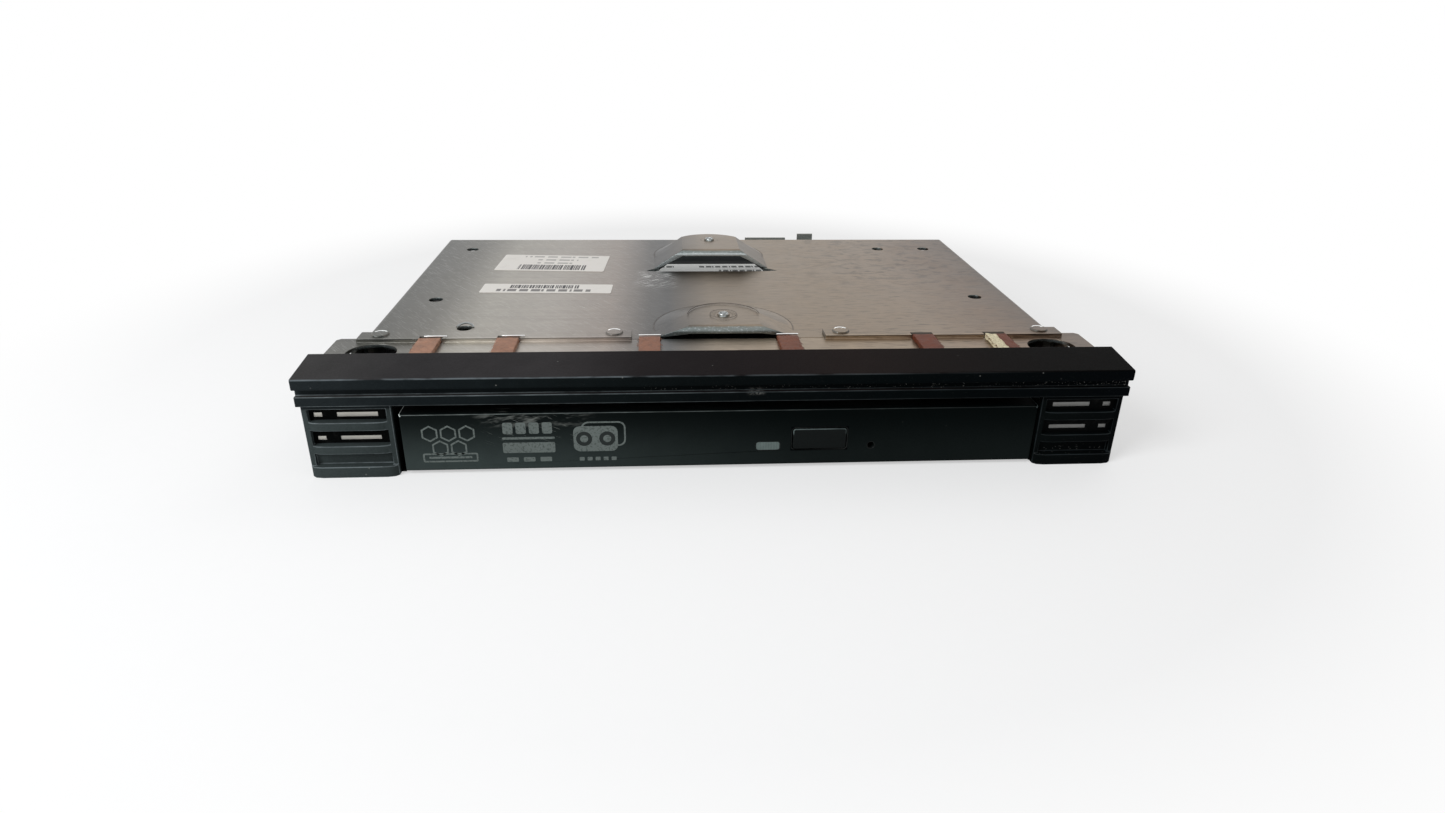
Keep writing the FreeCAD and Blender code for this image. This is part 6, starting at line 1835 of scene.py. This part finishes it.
@dataclass
class FacePrint:
    """Generic pale marks on the front panel: hexagons, squares over a bar, and a pierced block."""

    out: float = -0.012
    root: float = 0.05
    line: float = 0.34
    first: tuple[float, float, float, float] = (-60.0, -49.2, 2.7, 11.0)
    second: tuple[float, float, float, float] = (-44.2, -33.9, 2.3, 11.2)
    third: tuple[float, float, float, float] = (-30.2, -19.8, 2.5, 11.2)
    hole_aside: float = 2.3
    hole_radii: tuple[float, float] = (1.6, 0.8)
    hole_sides: int = 28

    def build(self) -> None:
        """Builds the three marks as one thin print, and the gaps in the last of them."""
        mark = Shape(CARRIER)
        self.cells(mark)
        self.steps(mark)
        left, right, low, high = self.third
        mark.prism(self.rounded(left, low + 2.1, right - 1.6, high - 1.0, 1.3),
                   self.out - 0.01, self.root, Plane.UPRIGHT)
        self.loop(mark, self.rounded(left + 1.6, low + 3.2, right, high, 1.4),
                  self.rounded(left + 1.6 + self.line, low + 3.2 + self.line, right - self.line,
                               high - self.line, 1.1))
        for step in range(5):
            start = left + 1.0 + step * 1.6
            self.fill(mark, self.rounded(start, low, start + 1.0, low + 0.8, 0.15))
        mark.piece("face_print", Ink("pale_ink"), Body.TRAY, "panel_black")
        gap = Shape(CARRIER)
        for aside in (-self.hole_aside, self.hole_aside):
            middle = ((left + right - 1.6) / 2.0 + aside, (low + high + 1.1) / 2.0)
            outer, inner = (self.ring(middle, radius, self.hole_sides)
                            for radius in self.hole_radii)
            self.loop(gap, outer, inner, self.out - 0.016)
        gap.piece("face_print_gaps", Ink("gap_ink", (26, 32, 31), (34, 40, 39)),
                  Body.TRAY, "panel_black")

    def cells(self, mark: Shape) -> None:
        """Adds two rows of outlined hexagons over an outlined bar.

        Args:
            mark: the shape that gains them.
        """
        left, right, low, high = self.first
        wide = (right - left) / 3.0
        for count, start, down in ((3, 0.5, 0.55), (2, 1.0, 1.45)):
            for column in range(count):
                middle = (left + wide * (column + start), high - wide * down)
                self.loop(mark, self.ring(middle, wide * 0.5, 6),
                          self.ring(middle, wide * 0.5 - self.line * 1.1, 6))
        self.loop(mark, self.rounded(left, low, right, low + 2.0, 0.4),
                  self.rounded(left + self.line, low + self.line, right - self.line,
                               low + 2.0 - self.line, 0.2))
        self.fill(mark, self.rounded(left + 1.2, low + 0.8, right - 1.2, low + 1.25, 0.1))

    def steps(self, mark: Shape) -> None:
        """Adds a row of squares, a thin rule, a filled bar and a broken rule.

        Args:
            mark: the shape that gains them.
        """
        left, right, low, high = self.second
        pitch = (right - left) / 4.0
        for column in range(4):
            start = left + column * pitch
            self.fill(mark, self.rounded(start + 0.2, high - 2.5, start + pitch - 0.4, high, 0.4))
        self.fill(mark, self.rounded(left, high - 3.7, right, high - 3.2, 0.2))
        self.fill(mark, self.rounded(left, low + 2.2, right, high - 4.4, 0.3))
        for column in range(3):
            start = left + 0.6 + column * 3.3
            self.fill(mark, self.rounded(start, low + 0.2, start + 2.3, low + 1.2, 0.2))

    def rounded(self, left: float, low: float, right: float, high: float,
                radius: float) -> list[tuple[float, float]]:
        """The outline of a box with round corners.

        Args:
            left: its left edge.
            low: its bottom.
            right: its right edge.
            high: its top.
            radius: the radius of its corners.

        Returns:
            Its points, anticlockwise.
        """
        corners = ((right - radius, low + radius, -90.0), (right - radius, high - radius, 0.0),
                   (left + radius, high - radius, 90.0), (left + radius, low + radius, 180.0))
        return [(x + radius * math.cos(math.radians(start + turn)),
                 y + radius * math.sin(math.radians(start + turn)))
                for x, y, start in corners for turn in (0.0, 22.5, 45.0, 67.5, 90.0)]

    def ring(self, middle: tuple[float, float], radius: float,
             sides: int) -> list[tuple[float, float]]:
        """The corners of a regular outline.

        Args:
            middle: its middle.
            radius: the distance of its corners.
            sides: their number.

        Returns:
            Its points, anticlockwise.
        """
        return [(middle[0] + radius * math.cos(math.tau * (step + 0.5) / sides),
                 middle[1] + radius * math.sin(math.tau * (step + 0.5) / sides))
                for step in range(sides)]

    def fill(self, mark: Shape, points: Sequence[tuple[float, float]]) -> None:
        """Adds a filled outline of ink."""
        mark.prism(points, self.out, self.root, Plane.UPRIGHT)

    def loop(self, mark: Shape, outer: Sequence[tuple[float, float]],
             inner: Sequence[tuple[float, float]], out: float | None = None) -> None:
        """Adds the ink between two outlines with the same number of points.

        Args:
            mark: the shape that gains it.
            outer: the outer outline.
            inner: the inner outline.
            out: how far it stands out, if not as far as the rest.
        """
        count = len(outer)
        for step in range(count):
            after = (step + 1) % count
            mark.prism((outer[step], outer[after], inner[after], inner[step]),
                       self.out if out is None else out, self.root, Plane.UPRIGHT)


@dataclass
class FrontPanel:
    """The tray's front panel with its lamp, button, emergency hole and print."""

    edge: float = 0.16
    highlight_brow: tuple[float, float, float, float] = (-63.45, 64.05, 13.02, 13.16)
    brow_out: tuple[float, float] = (-0.012, 0.1)

    def build(self) -> None:
        """Builds the panel and the parts set in it."""
        softened("tray_bezel", "face_panel", PANEL_BLACK, Body.TRAY,
                 self.edge, PANEL_EDGE_HIGHLIGHT)
        # Painted highlight: a thin strip along the panel's top edge, which also gives off a little
        # light.
        glint = Shape(CARRIER)
        left, right, low, high = self.highlight_brow
        front, rear = self.brow_out
        glint.block((left, front, low), (right, rear, high))
        glint.piece("panel_top_highlight", PANEL_HIGHLIGHT_LINE, Body.TRAY, "panel_black")
        softened("eject_button", "button_cap", BUTTON_BLACK, Body.BUTTON,
                 0.16, BUTTON_EDGE_HIGHLIGHT)
        softened("led_window", "lamp_window", LightPipe("milky_pipe"), Body.TRAY,
                 0.06)
        paint_node(SOCKET_BLACK, "eject_switch")
        FacePrint().build()


@dataclass
class TrayParts:
    """The moulded tray, its under cover, board and flat cable."""

    edge: float = 0.12

    def build(self) -> None:
        """Builds the tray and paints what it carries."""
        softened("tray", "tray_moulding", TRAY_BLACK, Body.TRAY, self.edge)
        paint_node(DRIVE_ZINC, "tray_under_cover")
        paint_node(GREEN_BOARD, "tray_board", "connector_board")
        paint_node(Film("amber_film"), "flex_ribbon")


@dataclass
class Mechanism:
    """The traverse: frame, cover, rods, sled, lens, lead screw, motors and grommets."""

    edge: float = 0.1
    screw_across: float = 16.5
    screw_high: float = 4.1
    screw_near: float = 7.6
    screw_far: float = 59.6
    screw_radius: float = 0.9
    screw_start: float = 2.0
    screw_sides: int = 20
    screw_step: float = 0.15
    screw_ends: tuple[tuple[tuple[float, float], ...], ...] = (
        ((0.55, 0.0), (0.55, 5.8)), ((0.55, 0.0), (0.55, 1.6), (0.4, 1.8)))
    pitch: float = 3.0
    thread_deep: float = 0.24
    sled_home: float = 30.0
    coil_across: float = 3.5
    coil_half: tuple[float, float] = (2.2, 0.6)
    coil_high: tuple[float, float] = (7.1, 7.36)
    ring_profile: tuple[tuple[float, float], ...] = ((2.2, 7.1), (2.75, 7.1), (2.65, 7.5),
                                                     (2.3, 7.5), (2.2, 7.1))
    head: CrossHead = CrossHead(radius=0.85, high=0.3, arm=0.13, reach=0.6, deep=0.2)
    head_spots: tuple[Point, ...] = ((34.2, -9.2, 5.2), (34.2, 9.2, 5.2))

    def build(self) -> None:
        """Builds the mechanism in the traverse's frame."""
        softened("traverse_frame", "deck_casting", Cast("grey_casting"), Body.TRAY,
                 self.edge)
        softened("traverse_cover", "deck_cover", COVER_TIN, Body.TRAY, 0.05)
        softened("pickup_sled", "sled_moulding", SLED_GREY, Body.SLED, 0.1)
        softened("lens_holder", "lens_moulding", SOCKET_BLACK, Body.LENS, 0.08)
        paint_node(Lens("coated_lens"), "objective_lens")
        paint_node(ROD_STEEL, "guide_rod_left", "guide_rod_right")
        paint_node(MOTOR_STEEL, "spindle_stator", "sled_motor", "latch_solenoid", "spindle_rotor")
        paint_node(BLACK_RUBBER, "traverse_grommets")
        paint_node(SCREW_STEEL, "traverse_screws")
        self.thread()
        self.pickup()

    def thread(self) -> None:
        """The lead screw, with its coarse thread as a real helix."""
        steps = round((self.screw_far - self.screw_near) / self.screw_step)
        shape = Shape(TRAVERSE)
        rings = []
        for step in range(steps + 1):
            along = self.screw_near + step * self.screw_step
            ring = []
            for side in range(self.screw_sides):
                angle = math.tau * side / self.screw_sides
                wave = math.sin(angle - math.tau * along / self.pitch)
                radius = (self.screw_radius
                          - self.thread_deep * max(0.0, min(1.0, wave * 2.2 + 0.2)))
                ring.append(shape.mesh.verts.new((along, self.screw_across + radius * math.cos(angle),
                                                  self.screw_high + radius * math.sin(angle))))
            rings.append(ring)
        shape.skin(rings)
        for profile, start in zip(self.screw_ends, (self.screw_start, self.screw_far - 0.2)):
            shape.lathe(profile, (start, self.screw_across, self.screw_high), Way.RIGHT,
                        self.screw_sides)
        shape.piece("lead_screw_thread", ROD_STEEL, Body.SCREW, "rail_steel",
                    replaces=("lead_screw",))

    def pickup(self) -> None:
        """The lens's coils and ring, and the screws that show on the sled."""
        home = self.sled_home
        coils = Shape(TRAVERSE)
        long, wide = self.coil_half
        low, high = self.coil_high
        for across in (-self.coil_across, self.coil_across):
            coils.block((home - long, across - wide, low), (home + long, across + wide, high))
        coils.piece("lens_coils", Steel("coil_copper", (186, 112, 70), 0.3), Body.LENS,
                    "sled_body", 0.1)
        ring = Shape(TRAVERSE)
        ring.lathe(self.ring_profile, (home, 0.0, 0.0))
        ring.piece("lens_ring", PALE_PLASTIC, Body.LENS, "sled_body")
        screws = Shape(TRAVERSE)
        for spot in self.head_spots:
            self.head.add(screws, spot, Way.UP)
        screws.piece("sled_screws", SCREW_STEEL, Body.SLED, "screw_steel")


@dataclass
class Turntable:
    """The turntable: hub, rubber ring, claws and the cap on the motor's boss."""

    boss: float = 10.6
    cap_profile: tuple[tuple[float, float], ...] = ((0.0, 0.0), (2.2, 0.0), (2.2, 0.16),
                                                    (1.9, 0.22), (0.0, 0.24))

    def build(self) -> None:
        """Builds the hub and its cap, and paints its ring and claws."""
        softened("turntable", "hub_moulding", HUB_BLACK, Body.SPINDLE, 0.12)
        paint_node(BLACK_RUBBER, "turntable_pad")
        paint_node(PALE_PLASTIC, "hub_claws")
        cap = Shape(TRAVERSE)
        cap.lathe(self.cap_profile, (0.0, 0.0, self.boss), sides=36)
        cap.piece("hub_cap", MOTOR_STEEL, Body.SPINDLE, "motor_steel")


@dataclass
class Boards:
    """The adapter behind the drive: board, socket and bracket, with pins and small parts."""

    adapter_back: float = 131.1
    adapter_columns: tuple[float, ...] = (6.0, 9.4, 54.4, 57.8)
    adapter_rows: tuple[float, ...] = (3.0, 5.2, 7.4)
    part_size: tuple[float, float] = (2.0, 1.2)
    pin_row: tuple[float, float, int] = (16.2, 1.5, 22)
    pin_highs: tuple[float, float] = (4.9, 6.1)
    pin_backs: tuple[float, float] = (132.4, 137.0)
    pin_size: tuple[float, float] = (0.5, 0.35)
    solder_row: tuple[float, float, int] = (14.0, 1.4, 26)
    solder_high: float = 10.6

    def build(self) -> None:
        """Builds the adapter's board, socket and bracket with their small parts."""
        paint_node(GREEN_BOARD, "adapter_board")
        softened("adapter_socket", "socket_body", SOCKET_BLACK, Body.CARRIER,
                 0.08)
        softened("rear_connector", "plug_body", SOCKET_BLACK, Body.CARRIER,
                 0.06)
        softened("adapter_bracket", "stand_sheet", STAND_ZINC, Body.CARRIER, 0.06)
        paint_node(SCREW_STEEL, "adapter_screws")
        self.pins()
        self.parts()

    def pins(self) -> None:
        """Two rows of pins in the socket."""
        pins = Shape(CARRIER)
        start, pitch, count = self.pin_row
        near, far = self.pin_backs
        wide, tall = self.pin_size
        for step in range(count):
            across = start + step * pitch
            for high in self.pin_highs:
                pins.block((across, near, high), (across + wide, far, high + tall))
        pins.piece("socket_pins", GOLD_PINS, Body.CARRIER, "connector_black")

    def parts(self) -> None:
        """Small parts and solder points on the back of the adapter's board."""
        parts = Shape(CARRIER)
        dice = random.Random(3)
        wide, tall = self.part_size
        for across in self.adapter_columns:
            for high in self.adapter_rows:
                deep = dice.uniform(0.4, 0.9)
                parts.block((across, self.adapter_back - 0.05, high),
                            (across + wide, self.adapter_back + deep, high + tall))
        parts.piece("adapter_parts", SOCKET_BLACK, Body.CARRIER, "connector_black", 0.08)
        solder = Shape(CARRIER)
        start, pitch, count = self.solder_row
        for step in range(count):
            across = start + step * pitch
            solder.lathe(((0.42, 0.0), (0.3, 0.2), (0.0, 0.34)),
                         (across, self.adapter_back - 0.01, self.solder_high), Way.BACK, 12)
        solder.piece("adapter_solder", SCREW_STEEL, Body.CARRIER, "board_green")


@dataclass
class LatchParts:
    """The latch, its post and the spring that kicks the tray."""

    edge: float = 0.08

    def build(self) -> None:
        """Builds the latch's parts."""
        softened("eject_latch", "latch_lever", PALE_PLASTIC, Body.LATCH,
                 self.edge)
        paint_node(BRIGHT_STEEL, "latch_post", "eject_spring")


@dataclass(frozen=True)
class Lamp:
    """A soft square light."""

    name: str
    spot: Point
    aim: Point
    side: float
    watts: float
    colour: Colour

    def build(self) -> None:
        """Hangs the light and points it."""
        data = bpy.data.lights.new(self.name, "AREA")
        data.energy = self.watts
        data.size = self.side * MM
        data.color = self.colour
        lamp = linked(self.name, data)
        lamp.location = Vector(self.spot) * MM
        look = Vector(self.aim) - Vector(self.spot)
        lamp.rotation_euler = look.to_track_quat("-Z", "Y").to_euler()


@dataclass
class Studio:
    """The floor, the lights, the sky and the camera at the photograph's view."""

    lamps: tuple[Lamp, ...] = (
        Lamp("key", (-340.0, -300.0, 330.0), (-20.0, -40.0, 10.0), 260.0, 1.9, (0.96, 0.98, 1.0)),
        Lamp("rear", (330.0, 260.0, 420.0), (0.0, 0.0, 15.0), 300.0, 0.35, (1.0, 0.97, 0.94)))
    fill: float = 0.42
    reach: float = 900.0
    eye: Point = (-12.704, -226.357, 87.067)
    pitch: float = 0.430586
    yaw: float = -0.0768454
    roll: float = -0.0182482
    focal: float = 879.935
    picture: float = 1445.0

    def build(self) -> None:
        """Sets the stage."""
        self.floor()
        for lamp in self.lamps:
            lamp.build()
        self.sky()
        self.camera()

    def floor(self) -> None:
        """The pale floor just under the part."""
        mesh = bmesh.new()
        bmesh.ops.create_grid(mesh, x_segments=1, y_segments=1, size=self.reach * MM)
        data = bpy.data.meshes.new("floor")
        mesh.to_mesh(data)
        mesh.free()
        data.materials.append(shared(Ground("pale_floor")))
        linked("floor", data)

    def sky(self) -> None:
        """White where it is seen or mirrored, and a soft grey fill elsewhere."""
        world = bpy.data.worlds.new("studio")
        bpy.context.scene.world = world
        tree = Tree(world)
        path = tree.tree.nodes.new("ShaderNodeLightPath")
        seen = Field(tree, path.outputs["Is Camera Ray"])
        mirrored = Field(tree, path.outputs["Is Glossy Ray"])
        through = Field(tree, path.outputs["Is Transmission Ray"])
        share = seen.most(mirrored).most(through)
        strength = share * (1.0 - self.fill) + self.fill
        shine = tree.node("ShaderNodeBackground", {}, {0: (1.0, 1.0, 1.0), 1: strength})
        output = tree.tree.nodes.new("ShaderNodeOutputWorld")
        tree.feed(output.inputs[0], shine)

    def camera(self) -> None:
        """The camera, fitted to the photograph."""
        data = bpy.data.cameras.new("photo_view")
        data.sensor_width = 36.0
        data.lens = 36.0 * self.focal / self.picture
        data.clip_start = 0.01
        view = linked("photo_view", data)
        view.matrix_world = (Matrix.Translation(Vector(self.eye) * MM)
                             @ Matrix.Rotation(self.yaw, 4, "Z")
                             @ Matrix.Rotation(-self.pitch, 4, "X")
                             @ Matrix.Rotation(self.roll, 4, "Y")
                             @ Matrix.Rotation(math.pi / 2, 4, "X"))
        bpy.context.scene.camera = view


def main() -> None:
    """Builds every sub-assembly in order, then the studio."""
    logging.basicConfig(level=logging.INFO, format="%(name)s: %(message)s")
    for part in (Bezel(), SheetCarrier(), Gaskets(), Labels(), DriveCase(), FrontPanel(),
                 TrayParts(), Mechanism(), Turntable(), Boards(), LatchParts(), Studio()):
        log.info("building %s", type(part).__name__)
        part.build()
    scene = bpy.context.scene
    scene.view_settings.view_transform = "Standard"
    scene.view_settings.look = "None"


if __name__ == "__main__":
    main()
